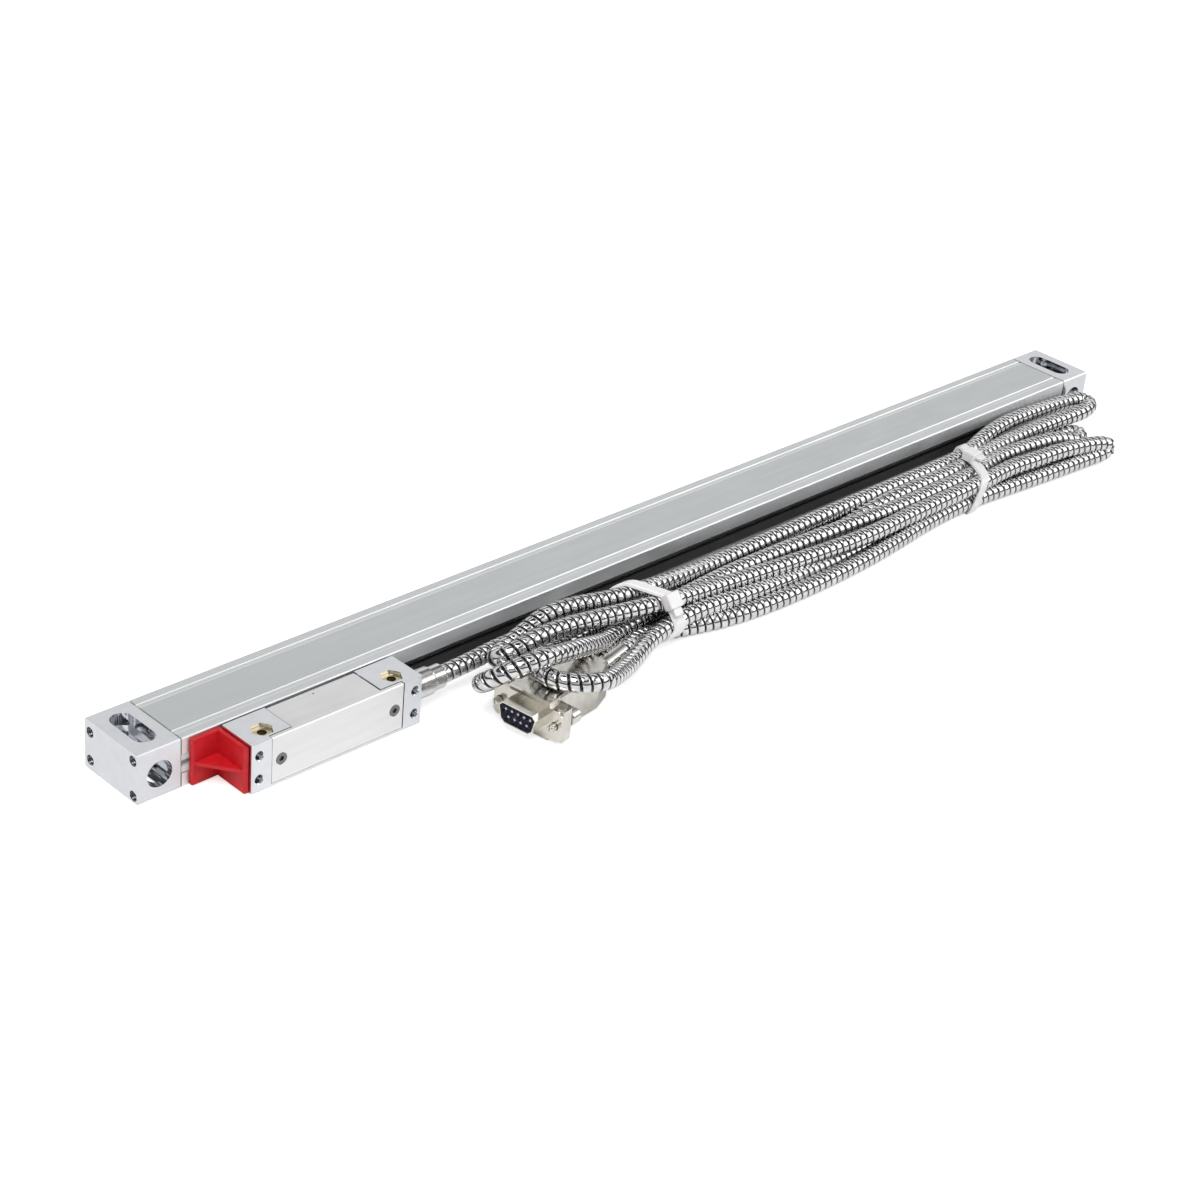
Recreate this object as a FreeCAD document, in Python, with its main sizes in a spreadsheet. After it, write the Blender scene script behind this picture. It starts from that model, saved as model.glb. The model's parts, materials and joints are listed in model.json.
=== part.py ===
import FreeCAD, Part
import math
import os
import Sketcher

# Sealed linear glass scale: an aluminium housing that holds a glass grating, and a reading head
# that slides along its slotted front on a roller carriage.
# Millimetres. X runs along the scale, -Y is the slotted front, +Z is up.
# The origin is the centre of the housing's underside.

Vector = FreeCAD.Vector
doc = FreeCAD.newDocument("LinearScale")
sheet = doc.addObject("Spreadsheet::Sheet", "Dims")
nodes = []


class Measure:
    """A length that knows both its number and the sheet expression that gives it."""

    def __init__(self, number, text):
        self.number = number
        self.text = text

    def joined(self, other, sign, number):
        return Measure(number, "(%s %s %s)" % (self.text, sign, measure(other).text))

    def __add__(self, other):
        return self.joined(other, "+", self.number + number_of(other))

    def __sub__(self, other):
        return self.joined(other, "-", self.number - number_of(other))

    def __mul__(self, other):
        return self.joined(other, "*", self.number * number_of(other))

    def __truediv__(self, other):
        return self.joined(other, "/", self.number / number_of(other))

    def __radd__(self, other):
        return measure(other) + self

    def __rsub__(self, other):
        return measure(other) - self

    def __rmul__(self, other):
        return measure(other) * self

    def __neg__(self):
        return measure(-1) * self


def measure(length):
    if isinstance(length, Measure):
        return length
    return Measure(float(length), "(%r)" % float(length))


def number_of(length):
    return measure(length).number


def size(alias, number):
    """Write one driving dimension to the sheet and return it."""
    row = len(sheet_rows) + 1
    sheet_rows.append(alias)
    sheet.set("A%d" % row, alias)
    sheet.set("B%d" % row, str(number))
    sheet.setAlias("B%d" % row, alias)
    return Measure(float(number), "Dims.%s" % alias)


sheet_rows = []

# Housing section, from the photograph's proportions
overall_length = size("overall_length", 528.0)
housing_width = size("housing_width", 30.0)
housing_height = size("housing_height", 19.5)
cap_length = size("cap_length", 17.5)
wall_top = size("wall_top", 2.4)
wall_bottom = size("wall_bottom", 2.4)
wall_back = size("wall_back", 6.0)
jamb_depth = size("jamb_depth", 4.6)
upper_jamb_height = size("upper_jamb_height", 6.2)
lower_jamb_height = size("lower_jamb_height", 5.4)
edge_bevel = size("edge_bevel", 0.4)
trim_groove_inset = size("trim_groove_inset", 3.8)
trim_groove_width = size("trim_groove_width", 2.2)
trim_groove_depth = size("trim_groove_depth", 0.3)
gasket_thickness = size("gasket_thickness", 0.5)
gasket_inset = size("gasket_inset", 0.3)

# Lip grooves and sealing lips
lip_neck_inset = size("lip_neck_inset", 1.6)
lip_neck_width = size("lip_neck_width", 1.2)
lip_neck_height = size("lip_neck_height", 0.6)
lip_head_overhang = size("lip_head_overhang", 0.5)
lip_groove_depth = size("lip_groove_depth", 1.5)
lip_fit = size("lip_fit", 0.1)
lip_thickness = size("lip_thickness", 1.1)
lip_lean = size("lip_lean", 1.2)
lip_blade_gap = size("lip_blade_gap", 0.25)
lip_insert_length = size("lip_insert_length", 10.0)
lip_insert_slot = size("lip_insert_slot", 2.4)
lip_insert_slot_depth = size("lip_insert_slot_depth", 1.6)

# Glass scale and its seat in the back wall
glass_thickness = size("glass_thickness", 2.0)
glass_width = size("glass_width", 10.3)
glass_seat_height = size("glass_seat_height", 8.3)
glass_seat_depth = size("glass_seat_depth", 3.0)
glass_end_gap = size("glass_end_gap", 0.5)
glass_back_gap = size("glass_back_gap", 0.2)
retainer_thickness = size("retainer_thickness", 0.6)
retainer_width = size("retainer_width", 2.6)

# End caps, their mounting holes and screws
cap_spigot_length = size("cap_spigot_length", 3.0)
cap_spigot_fit = size("cap_spigot_fit", 0.3)
mount_hole_inset = size("mount_hole_inset", 9.0)
mount_slot_length = size("mount_slot_length", 17.0)
mount_slot_width = size("mount_slot_width", 5.5)
mount_slot_offset = size("mount_slot_offset", 0.2)
slot_recess_length = size("slot_recess_length", 20.5)
slot_recess_width = size("slot_recess_width", 8.4)
slot_recess_depth = size("slot_recess_depth", 6.0)
mount_bore_radius = size("mount_bore_radius", 2.8)
mount_bore_height = size("mount_bore_height", 9.1)
bore_recess_radius = size("bore_recess_radius", 5.1)
bore_recess_depth = size("bore_recess_depth", 5.0)
cap_screw_front_inset = size("cap_screw_front_inset", 2.4)
cap_screw_back_inset = size("cap_screw_back_inset", 3.2)
cap_screw_front_spacing = size("cap_screw_front_spacing", 13.9)
cap_screw_back_spacing = size("cap_screw_back_spacing", 11.2)
cap_screw_middle = size("cap_screw_middle", 9.5)
cap_screw_radius = size("cap_screw_radius", 1.0)
cap_screw_head_radius = size("cap_screw_head_radius", 1.75)
cap_screw_head_height = size("cap_screw_head_height", 2.0)
cap_screw_sink = size("cap_screw_sink", 1.0)
cap_screw_grip = size("cap_screw_grip", 6.0)
cap_screw_tip_gap = size("cap_screw_tip_gap", 2.0)
cap_screw_socket = size("cap_screw_socket", 1.5)
screw_fit = size("screw_fit", 0.1)
head_recess_fit = size("head_recess_fit", 0.2)

# Reading head
head_place = size("head_place", 71.0)
head_length = size("head_length", 75.0)
head_depth = size("head_depth", 16.7)
head_height = size("head_height", 19.4)
head_floor_gap = size("head_floor_gap", 0.15)
head_gap = size("head_gap", 1.3)
head_edge_bevel = size("head_edge_bevel", 0.35)
cover_half_length = size("cover_half_length", 29.0)
cover_thickness = size("cover_thickness", 1.6)
cover_sill = size("cover_sill", 1.1)
cover_seam = size("cover_seam", 0.15)
tongue_half_length = size("tongue_half_length", 19.4)
tongue_back_gap = size("tongue_back_gap", 0.8)
cover_gasket_thickness = size("cover_gasket_thickness", 0.4)
cavity_half_length = size("cavity_half_length", 22.5)
cavity_back_wall = size("cavity_back_wall", 3.2)
cavity_floor = size("cavity_floor", 2.0)
cavity_roof = size("cavity_roof", 2.6)
cover_screw_spacing = size("cover_screw_spacing", 50.0)
cover_screw_radius = size("cover_screw_radius", 1.2)
cover_screw_head_radius = size("cover_screw_head_radius", 2.15)
cover_screw_head_height = size("cover_screw_head_height", 1.1)
cover_screw_length = size("cover_screw_length", 4.6)
cover_screw_socket = size("cover_screw_socket", 1.9)
clamp_hole_spacing = size("clamp_hole_spacing", 57.0)
clamp_hole_inset = size("clamp_hole_inset", 6.5)
clamp_hole_radius = size("clamp_hole_radius", 2.2)
nut_across_flats = size("nut_across_flats", 7.0)
nut_height = size("nut_height", 3.0)
nut_sink = size("nut_sink", 1.2)
nut_fit = size("nut_fit", 0.1)
nut_bore_radius = size("nut_bore_radius", 1.7)
tapped_hole_spacing = size("tapped_hole_spacing", 68.6)
tapped_hole_rise = size("tapped_hole_rise", 9.4)
tapped_hole_radius = size("tapped_hole_radius", 1.65)
tapped_hole_depth = size("tapped_hole_depth", 6.0)
tapped_hole_bevel = size("tapped_hole_bevel", 0.3)
board_thickness = size("board_thickness", 1.6)
board_standoff = size("board_standoff", 1.0)
board_side_gap = size("board_side_gap", 1.0)
board_post_radius = size("board_post_radius", 1.4)
board_post_span = size("board_post_span", 34.0)
board_post_rise = size("board_post_rise", 9.0)
chip_height = size("chip_height", 1.6)
cover_gasket_inset = size("cover_gasket_inset", 0.5)
cover_gasket_sill = size("cover_gasket_sill", 0.4)

# Coupling through the lips, and the roller carriage on the glass
blade_thickness = size("blade_thickness", 0.8)
blade_end_inset = size("blade_end_inset", 10.0)
blade_right = size("blade_right", 12.0)
blade_fit = size("blade_fit", 0.05)
blade_pocket_gap = size("blade_pocket_gap", 0.2)
spring_room = size("spring_room", 1.6)
blade_root = size("blade_root", 2.3)
blade_reach = size("blade_reach", 3.6)
ribbon_left = size("ribbon_left", 14.0)
ribbon_width = size("ribbon_width", 6.0)
ribbon_thickness = size("ribbon_thickness", 0.3)
ribbon_fit = size("ribbon_fit", 0.15)
ribbon_fold_inset = size("ribbon_fold_inset", 0.4)
ribbon_end_gap = size("ribbon_end_gap", 0.2)
carriage_length = size("carriage_length", 60.0)
carriage_gap = size("carriage_gap", 0.8)
glass_gap = size("glass_gap", 1.0)
throat_side_gap = size("throat_side_gap", 0.8)
carriage_bevel = size("carriage_bevel", 1.0)
roller_radius = size("roller_radius", 3.0)
roller_width = size("roller_width", 2.0)
roller_gap = size("roller_gap", 0.1)
roller_pin_radius = size("roller_pin_radius", 1.0)
roller_pin_fit = size("roller_pin_fit", 0.03)
roller_pocket_gap = size("roller_pocket_gap", 0.4)
roller_side_gap = size("roller_side_gap", 0.3)
roller_groove_depth = size("roller_groove_depth", 0.25)
roller_bevel = size("roller_bevel", 0.2)
roller_hub_wall = size("roller_hub_wall", 0.5)
roller_rim_wall = size("roller_rim_wall", 0.7)
edge_pin_grip = size("edge_pin_grip", 2.0)
face_roller_end_inset = size("face_roller_end_inset", 6.0)
face_roller_inset = size("face_roller_inset", 2.0)
middle_roller_inset = size("middle_roller_inset", 4.8)
edge_roller_end_inset = size("edge_roller_end_inset", 4.5)
spring_thickness = size("spring_thickness", 0.3)
spring_end_inset = size("spring_end_inset", 2.0)
spring_foot = size("spring_foot", 2.0)
spring_front_gap = size("spring_front_gap", 0.6)
spring_back_gap = size("spring_back_gap", 0.3)
lamp_place = size("lamp_place", 10.0)
lamp_radius = size("lamp_radius", 2.5)
lamp_roof_gap = size("lamp_roof_gap", 0.3)
lens_room = size("lens_room", 1.3)
lens_edge_gap = size("lens_edge_gap", 0.1)
lens_edge = size("lens_edge", 0.5)
lens_crown = size("lens_crown", 1.1)
reticle_thickness = size("reticle_thickness", 0.8)
detector_thickness = size("detector_thickness", 0.3)
detector_board_thickness = size("detector_board_thickness", 1.0)
detector_board_left = size("detector_board_left", 4.0)
detector_board_right = size("detector_board_right", 0.8)
detector_side_gap = size("detector_side_gap", 0.2)
detector_back_gap = size("detector_back_gap", 0.3)
detector_length = size("detector_length", 10.0)
detector_width = size("detector_width", 4.0)
reticle_length = size("reticle_length", 12.0)
reticle_width = size("reticle_width", 5.2)

# Gland on the head's right end
gland_place = size("gland_place", 8.35)
gland_stub_radius = size("gland_stub_radius", 3.4)
gland_stub_length = size("gland_stub_length", 5.0)
gland_collar_radius = size("gland_collar_radius", 5.3)
gland_collar_length = size("gland_collar_length", 10.3)
gland_sleeve_radius = size("gland_sleeve_radius", 4.6)
gland_sleeve_length = size("gland_sleeve_length", 5.6)
gland_bore_radius = size("gland_bore_radius", 2.6)
gland_bevel = size("gland_bevel", 0.5)
wire_way_radius = size("wire_way_radius", 1.6)
wire_way_inset = size("wire_way_inset", 0.6)

# Moulded transport bracket between housing and head
bracket_thickness = size("bracket_thickness", 1.6)
bracket_foot = size("bracket_foot", 12.3)
bracket_reach = size("bracket_reach", 16.2)
bracket_height = size("bracket_height", 18.0)
bracket_lift = size("bracket_lift", 0.4)
bracket_gap = size("bracket_gap", 0.3)
bracket_rib = size("bracket_rib", 1.4)
bracket_rib_height = size("bracket_rib_height", 8.5)
bracket_rib_inset = size("bracket_rib_inset", 1.0)
bracket_bevel = size("bracket_bevel", 0.5)

# Cord and plug
hose_radius = size("hose_radius", 3.55)
tie_width = size("tie_width", 4.6)
tie_thickness = size("tie_thickness", 1.3)
tie_gap = size("tie_gap", 0.3)
tie_head_side = size("tie_head_side", 6.4)
flange_length = size("flange_length", 30.8)
flange_height = size("flange_height", 12.5)
flange_thickness = size("flange_thickness", 0.8)
plug_screw_spacing = size("plug_screw_spacing", 25.0)
shell_length = size("shell_length", 16.9)
shell_height = size("shell_height", 8.3)
shell_depth = size("shell_depth", 5.9)
shell_wall = size("shell_wall", 0.45)
shell_slope = size("shell_slope", 1.4)
shell_corner = size("shell_corner", 1.6)
flange_bevel = size("flange_bevel", 1.6)
insulator_front = size("insulator_front", 1.4)
insulator_back = size("insulator_back", 3.0)
insulator_fit = size("insulator_fit", 0.07)
pin_front_inset = size("pin_front_inset", 0.7)
pin_length = size("pin_length", 10.4)
pin_radius = size("pin_radius", 0.5)
pin_pitch = size("pin_pitch", 2.77)
pin_row_spacing = size("pin_row_spacing", 2.84)
hood_length = size("hood_length", 37.0)
hood_height = size("hood_height", 15.6)
hood_ear_length = size("hood_ear_length", 6.0)
hood_half_width = size("hood_half_width", 9.1)
hood_nose_half_width = size("hood_nose_half_width", 6.6)
hood_wall = size("hood_wall", 1.6)
hood_nose_length = size("hood_nose_length", 8.0)
hood_ear_bevel = size("hood_ear_bevel", 1.2)
hood_throat_length = size("hood_throat_length", 4.0)
hood_rounding = size("hood_rounding", 1.4)
cord_entry_fit = size("cord_entry_fit", 0.6)
ridge_start = size("ridge_start", 8.0)
ridge_pitch = size("ridge_pitch", 2.2)
ridge_width = size("ridge_width", 1.1)
ridge_depth = size("ridge_depth", 0.45)
ridge_side_inset = size("ridge_side_inset", 1.5)
jackscrew_radius = size("jackscrew_radius", 1.4)
jackscrew_fit = size("jackscrew_fit", 0.25)
jackscrew_knob_radius = size("jackscrew_knob_radius", 3.1)
jackscrew_knob_length = size("jackscrew_knob_length", 4.5)
jackscrew_gap = size("jackscrew_gap", 0.4)
jackscrew_tip = size("jackscrew_tip", 3.0)
jackscrew_bevel = size("jackscrew_bevel", 0.4)
jackscrew_slot_width = size("jackscrew_slot_width", 0.8)
jackscrew_slot_depth = size("jackscrew_slot_depth", 1.0)
jackscrew_tip_slot = size("jackscrew_tip_slot", 0.6)
ferrule_radius = size("ferrule_radius", 3.8)
ferrule_collar_radius = size("ferrule_collar_radius", 4.4)
ferrule_collar_length = size("ferrule_collar_length", 8.0)
ferrule_length = size("ferrule_length", 20.0)
ferrule_gap = size("ferrule_gap", 0.8)
ferrule_bevel = size("ferrule_bevel", 0.4)

doc.recompute()

# Places that several pieces share
front = -housing_width / 2
back = housing_width / 2
cap_face = overall_length / 2 - cap_length
profile_end = cap_face - gasket_thickness
jamb_back = front + jamb_depth
cavity_back = back - wall_back
roof = housing_height - wall_top
floor = wall_bottom
upper_jamb = housing_height - upper_jamb_height
lower_jamb = lower_jamb_height
lip_middle = (upper_jamb + lower_jamb) / 2
neck_front = front + lip_neck_inset
neck_back = neck_front + lip_neck_width
lip_end = profile_end - lip_insert_length
spigot_end = profile_end - cap_spigot_length
glass_half_length = spigot_end - glass_end_gap
glass_back = cavity_back + glass_seat_depth - glass_back_gap
glass_front = glass_back - glass_width
glass_top = glass_seat_height + glass_thickness
mount_hole_x = overall_length / 2 - mount_hole_inset

head_centre = head_place - overall_length / 2
head_left = head_centre - head_length / 2
head_right = head_centre + head_length / 2
head_back = front - head_gap
head_front = head_back - head_depth
head_bottom = head_floor_gap
head_top = head_floor_gap + head_height
head_middle = head_floor_gap + head_height / 2
rebate_back = head_front + cover_thickness + cover_gasket_thickness
cover_back = head_front + cover_thickness
cavity_rear = head_back - cavity_back_wall
tongue_floor = head_top - cover_thickness
clamp_hole_y = head_front + clamp_hole_inset
gland_y = head_back - gland_place
face_roller_spread = carriage_length / 2 - face_roller_end_inset
edge_roller_spread = carriage_length / 2 - edge_roller_end_inset
blade_left = blade_end_inset - carriage_length / 2
blade_bottom = lip_middle - blade_thickness / 2
blade_top = lip_middle + blade_thickness / 2
carriage_front = jamb_back + carriage_gap
carriage_rear = cavity_back - carriage_gap
carriage_floor = floor + carriage_gap
carriage_roof = roof - carriage_gap
throat_floor = glass_seat_height - glass_gap
throat_roof = glass_top + glass_gap
throat_front = glass_front - throat_side_gap
blade_tip = carriage_front + blade_reach


def origin_plane(body, role):
    return [plane for plane in body.Origin.OriginFeatures if plane.Role == role][0]


class Piece:
    """A PartDesign body whose features are sketched on its own origin planes."""

    def __init__(self, name):
        self.body = doc.addObject("PartDesign::Body", name)
        self.body.Label = name
        self.count = 0
        nodes.append(self.body)

    def sketch(self, role, offset, loops):
        self.count += 1
        name = "%s_sketch_%d" % (self.body.Name, self.count)
        sketch = self.body.newObject("Sketcher::SketchObject", name)
        sketch.AttachmentSupport = (origin_plane(self.body, role), [""])
        sketch.MapMode = "FlatFace"
        sketch.setExpression("AttachmentOffset.Base.z", measure(offset).text)
        for loop in loops:
            loop.draw(sketch)
        return sketch

    def feature(self, kind, sketch, length=None):
        self.count += 1
        name = "%s_%s_%d" % (self.body.Name, kind.lower(), self.count)
        feature = self.body.newObject("PartDesign::%s" % kind, name)
        feature.Profile = sketch
        if length is not None:
            feature.setExpression("Length", measure(length).text)
        return feature

    def pad(self, role, low, high, *loops):
        """Add the loops' area between two places along the plane's axis."""
        start = low
        if role == "XZ_Plane":
            start = -measure(high)
        return self.feature("Pad", self.sketch(role, start, loops), measure(high) - low)

    def pocket(self, role, low, high, *loops):
        """Remove the loops' area between two places along the plane's axis."""
        start = high
        if role == "XZ_Plane":
            start = -measure(low)
        return self.feature("Pocket", self.sketch(role, start, loops), measure(high) - low)

    def turned(self, outline):
        """Turn an outline of (along, radius) points about the body's X axis."""
        sketch = self.sketch("XY_Plane", 0, [Polygon(outline)])
        turn = self.feature("Revolution", sketch)
        turn.ReferenceAxis = (sketch, ["H_Axis"])
        turn.Angle = 360.0
        return turn

    def trimmed(self, kind, amount, chosen):
        """Chamfer or fillet the edges of the body so far for which chosen(edge) is true."""
        doc.recompute()
        base = self.body.Tip
        edges = enumerate(base.Shape.Edges, 1)
        names = ["Edge%d" % index for index, edge in edges if chosen(edge)]
        self.count += 1
        name = "%s_%s_%d" % (self.body.Name, kind.lower(), self.count)
        trim = self.body.newObject("PartDesign::%s" % kind, name)
        trim.Base = (base, names)
        trim.setExpression("Size" if kind == "Chamfer" else "Radius", measure(amount).text)
        return trim

    def place(self, x, y, z, turn=None):
        place(self.body, x, y, z, turn)


def place(item, x, y, z, turn=None):
    """Bind an object's position, with an optional fixed rotation."""
    if turn is not None:
        item.Placement = FreeCAD.Placement(Vector(), turn)
    for axis, length in zip("xyz", (x, y, z)):
        item.setExpression("Placement.Base.%s" % axis, measure(length).text)


def pin_point(sketch, geometry, point, u, v):
    """Fix one point of a sketch at bound coordinates."""
    for kind, length in (("DistanceX", u), ("DistanceY", v)):
        index = sketch.addConstraint(Sketcher.Constraint(kind, -1, 1, geometry, point, number_of(length)))
        sketch.setExpression("Constraints[%d]" % index, measure(length).text)


def set_radius(sketch, geometry, radius):
    index = sketch.addConstraint(Sketcher.Constraint("Radius", geometry, number_of(radius)))
    sketch.setExpression("Constraints[%d]" % index, measure(radius).text)


class Polygon:
    """A closed outline of straight lines through bound points."""

    def __init__(self, points):
        self.points = points

    def draw(self, sketch):
        corners = [Vector(number_of(u), number_of(v), 0) for u, v in self.points]
        first = sketch.GeometryCount
        total = len(corners)
        for index in range(total):
            line = Part.LineSegment(corners[index], corners[(index + 1) % total])
            sketch.addGeometry(line, False)
        for index in range(total):
            after = first + (index + 1) % total
            sketch.addConstraint(Sketcher.Constraint("Coincident", first + index, 2, after, 1))
        for index, (u, v) in enumerate(self.points):
            pin_point(sketch, first + index, 1, u, v)


class Circle:
    def __init__(self, u, v, radius):
        self.centre = (u, v)
        self.radius = radius

    def draw(self, sketch):
        centre = Vector(number_of(self.centre[0]), number_of(self.centre[1]), 0)
        circle = Part.Circle(centre, Vector(0, 0, 1), number_of(self.radius))
        index = sketch.addGeometry(circle, False)
        pin_point(sketch, index, 3, *self.centre)
        set_radius(sketch, index, self.radius)


class Obround:
    """A slot along the sketch's vertical axis: two half circles joined by straight sides."""

    def __init__(self, u, v, length, width):
        self.centre = (u, v)
        self.reach = (measure(length) - width) / 2
        self.radius = measure(width) / 2

    def draw(self, sketch):
        u, v = self.centre
        radius = self.radius.number
        ends = []
        for sign in (1, -1):
            middle = measure(v) + self.reach * sign
            centre = Vector(number_of(u), middle.number, 0)
            circle = Part.Circle(centre, Vector(0, 0, 1), radius)
            start = 0 if sign > 0 else math.pi
            arc = sketch.addGeometry(Part.ArcOfCircle(circle, start, start + math.pi), False)
            pin_point(sketch, arc, 3, u, middle)
            set_radius(sketch, arc, self.radius)
            sketch.addConstraint(Sketcher.Constraint("Horizontal", arc, 1, arc, 3))
            sketch.addConstraint(Sketcher.Constraint("Horizontal", arc, 2, arc, 3))
            ends.append((arc, middle.number))
        for side, (from_end, to_end) in ((1, (1, 2)), (-1, (2, 1))):
            (top, top_v), (low, low_v) = ends
            x = number_of(u) + side * radius
            line = sketch.addGeometry(Part.LineSegment(Vector(x, top_v, 0), Vector(x, low_v, 0)), False)
            sketch.addConstraint(Sketcher.Constraint("Coincident", line, 1, top, from_end))
            sketch.addConstraint(Sketcher.Constraint("Coincident", line, 2, low, to_end))


def rectangle(low_u, high_u, low_v, high_v):
    return Polygon([(low_u, low_v), (high_u, low_v), (high_u, high_v), (low_u, high_v)])


def bevelled_rectangle(low_u, high_u, low_v, high_v, bevel):
    low_u, high_u, low_v, high_v = [measure(edge) for edge in (low_u, high_u, low_v, high_v)]
    return Polygon([
        (low_u + bevel, low_v), (high_u - bevel, low_v), (high_u, low_v + bevel), (high_u, high_v - bevel),
        (high_u - bevel, high_v), (low_u + bevel, high_v), (low_u, high_v - bevel), (low_u, low_v + bevel)])


def hexagon(u, v, across_flats):
    """A hexagon with two corners on the sketch's horizontal axis."""
    corner = measure(across_flats) / math.sqrt(3)
    turns = [math.radians(60 * step) for step in range(6)]
    return Polygon([(measure(u) + corner * math.cos(turn), measure(v) + corner * math.sin(turn))
                    for turn in turns])


def cylinder(name, radius, length):
    item = doc.addObject("Part::Cylinder", name)
    item.setExpression("Radius", measure(radius).text)
    item.setExpression("Height", measure(length).text)
    return item


def box(name, length, width, height):
    item = doc.addObject("Part::Box", name)
    for side, amount in (("Length", length), ("Width", width), ("Height", height)):
        item.setExpression(side, measure(amount).text)
    return item


def joined(name, kind, items):
    item = doc.addObject("Part::%s" % kind, name)
    if kind == "Cut":
        item.Base, item.Tool = items
    elif kind == "Compound":
        item.Links = items
    else:
        item.Shapes = items
    return item


def group(name, items):
    """Several like solids in one node."""
    item = joined(name, "Compound", items)
    item.Label = name
    nodes.append(item)


TURN_TO_X = FreeCAD.Rotation(Vector(0, 1, 0), 90)
TURN_TO_Y = FreeCAD.Rotation(Vector(1, 0, 0), -90)
TURN_TO_MINUS_Y = FreeCAD.Rotation(Vector(1, 0, 0), 90)
TURN_TO_MINUS_X = FreeCAD.Rotation(Vector(0, 1, 0), -90)


def socket_screw(name, radius, length, head_radius, head_height, socket_across):
    """A screw along +Z with the face of its head at the origin, pointing down."""
    head = cylinder(name + "_head", head_radius, head_height)
    place(head, 0, 0, -head_height)
    shank = cylinder(name + "_shank", radius, length)
    place(shank, 0, 0, -(head_height + length))
    solid = joined(name + "_solid", "MultiFuse", [head, shank])
    socket = doc.addObject("Part::Prism", name + "_socket")
    socket.Polygon = 6
    socket.setExpression("Circumradius", measure(socket_across).text + " / 1.732")
    socket.setExpression("Height", (head_height * 0.6).text)
    place(socket, 0, 0, -head_height * 0.6)
    return joined(name, "Cut", [solid, socket])


# Housing profile


def lip_groove(jamb, up):
    """The T-shaped groove in a jamb's face, front to back; up is 1 for the upper jamb."""
    neck = jamb + lip_neck_height * up
    depth = jamb + lip_groove_depth * up
    overhang = lip_head_overhang
    return [(neck_front, jamb), (neck_front, neck), (neck_front - overhang, neck),
            (neck_front - overhang, depth), (neck_back + overhang, depth),
            (neck_back + overhang, neck), (neck_back, neck), (neck_back, jamb)]


def trim_groove(from_edge, side):
    """A shallow groove with sloping sides in the top face, read from back to front."""
    width = trim_groove_width
    bottom = housing_height - trim_groove_depth
    slope = trim_groove_depth
    outer = from_edge - trim_groove_inset * side
    if side > 0:
        return [(outer, housing_height), (outer - slope, bottom),
                (outer - width + slope, bottom), (outer - width, housing_height)]
    return [(outer + width, housing_height), (outer + width - slope, bottom),
            (outer + slope, bottom), (outer, housing_height)]


def cap_screw_places():
    """Where the four screws of each cap go through, as (Y, Z)."""
    places = []
    for y, spacing in ((front + cap_screw_front_inset, cap_screw_front_spacing),
                       (back - cap_screw_back_inset, cap_screw_back_spacing)):
        for sign in (-1, 1):
            places.append((y, cap_screw_middle + spacing * sign / 2))
    return places


def housing_profile():
    piece = Piece("housing_profile")
    bevel = edge_bevel
    top = housing_height
    seat_top = glass_top + retainer_thickness
    seat_back = cavity_back + glass_seat_depth
    outline = [(front + bevel, measure(0)), (back - bevel, measure(0)), (back, bevel),
               (back, top - bevel), (back - bevel, top)]
    outline += trim_groove(back, 1) + trim_groove(front, -1)
    outline += [(front + bevel, top), (front, top - bevel), (front, upper_jamb)]
    outline += lip_groove(upper_jamb, 1)
    outline += [(jamb_back, upper_jamb), (jamb_back, roof), (cavity_back, roof),
                (cavity_back, seat_top), (seat_back, seat_top),
                (seat_back, glass_seat_height), (cavity_back, glass_seat_height),
                (cavity_back, floor), (jamb_back, floor), (jamb_back, lower_jamb)]
    outline += reversed(lip_groove(lower_jamb, -1))
    outline += [(front, lower_jamb), (front, bevel)]
    piece.pad("YZ_Plane", -profile_end, profile_end, Polygon(outline))
    holes = [Circle(y, z, cap_screw_radius + screw_fit / 2) for y, z in cap_screw_places()]
    hole_depth = cap_screw_grip + cap_screw_tip_gap
    piece.pocket("YZ_Plane", -profile_end, hole_depth - profile_end, *holes)
    piece.pocket("YZ_Plane", profile_end - hole_depth, profile_end, *holes)


def sealing_lip(name, jamb, up):
    """A rubber lip held in its groove, leaning in towards the coupling blade."""
    piece = Piece(name)
    fit = lip_fit
    overhang = lip_head_overhang
    neck = jamb + (lip_neck_height + fit) * up
    depth = jamb + (lip_groove_depth - fit) * up
    root = jamb - fit * up
    tip = lip_middle + (blade_thickness / 2 + lip_blade_gap) * up
    face = front + (lip_neck_inset - lip_thickness / 2)
    outline = [(neck_front + fit, root), (neck_front + fit, neck), (neck_front - overhang + fit, neck),
               (neck_front - overhang + fit, depth), (neck_back + overhang - fit, depth),
               (neck_back + overhang - fit, neck), (neck_back - fit, neck), (neck_back - fit, root),
               (face + lip_lean + lip_thickness, tip), (face + lip_lean, tip), (face, root)]
    piece.pad("YZ_Plane", -lip_end + fit, lip_end - fit, Polygon(outline))


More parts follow.
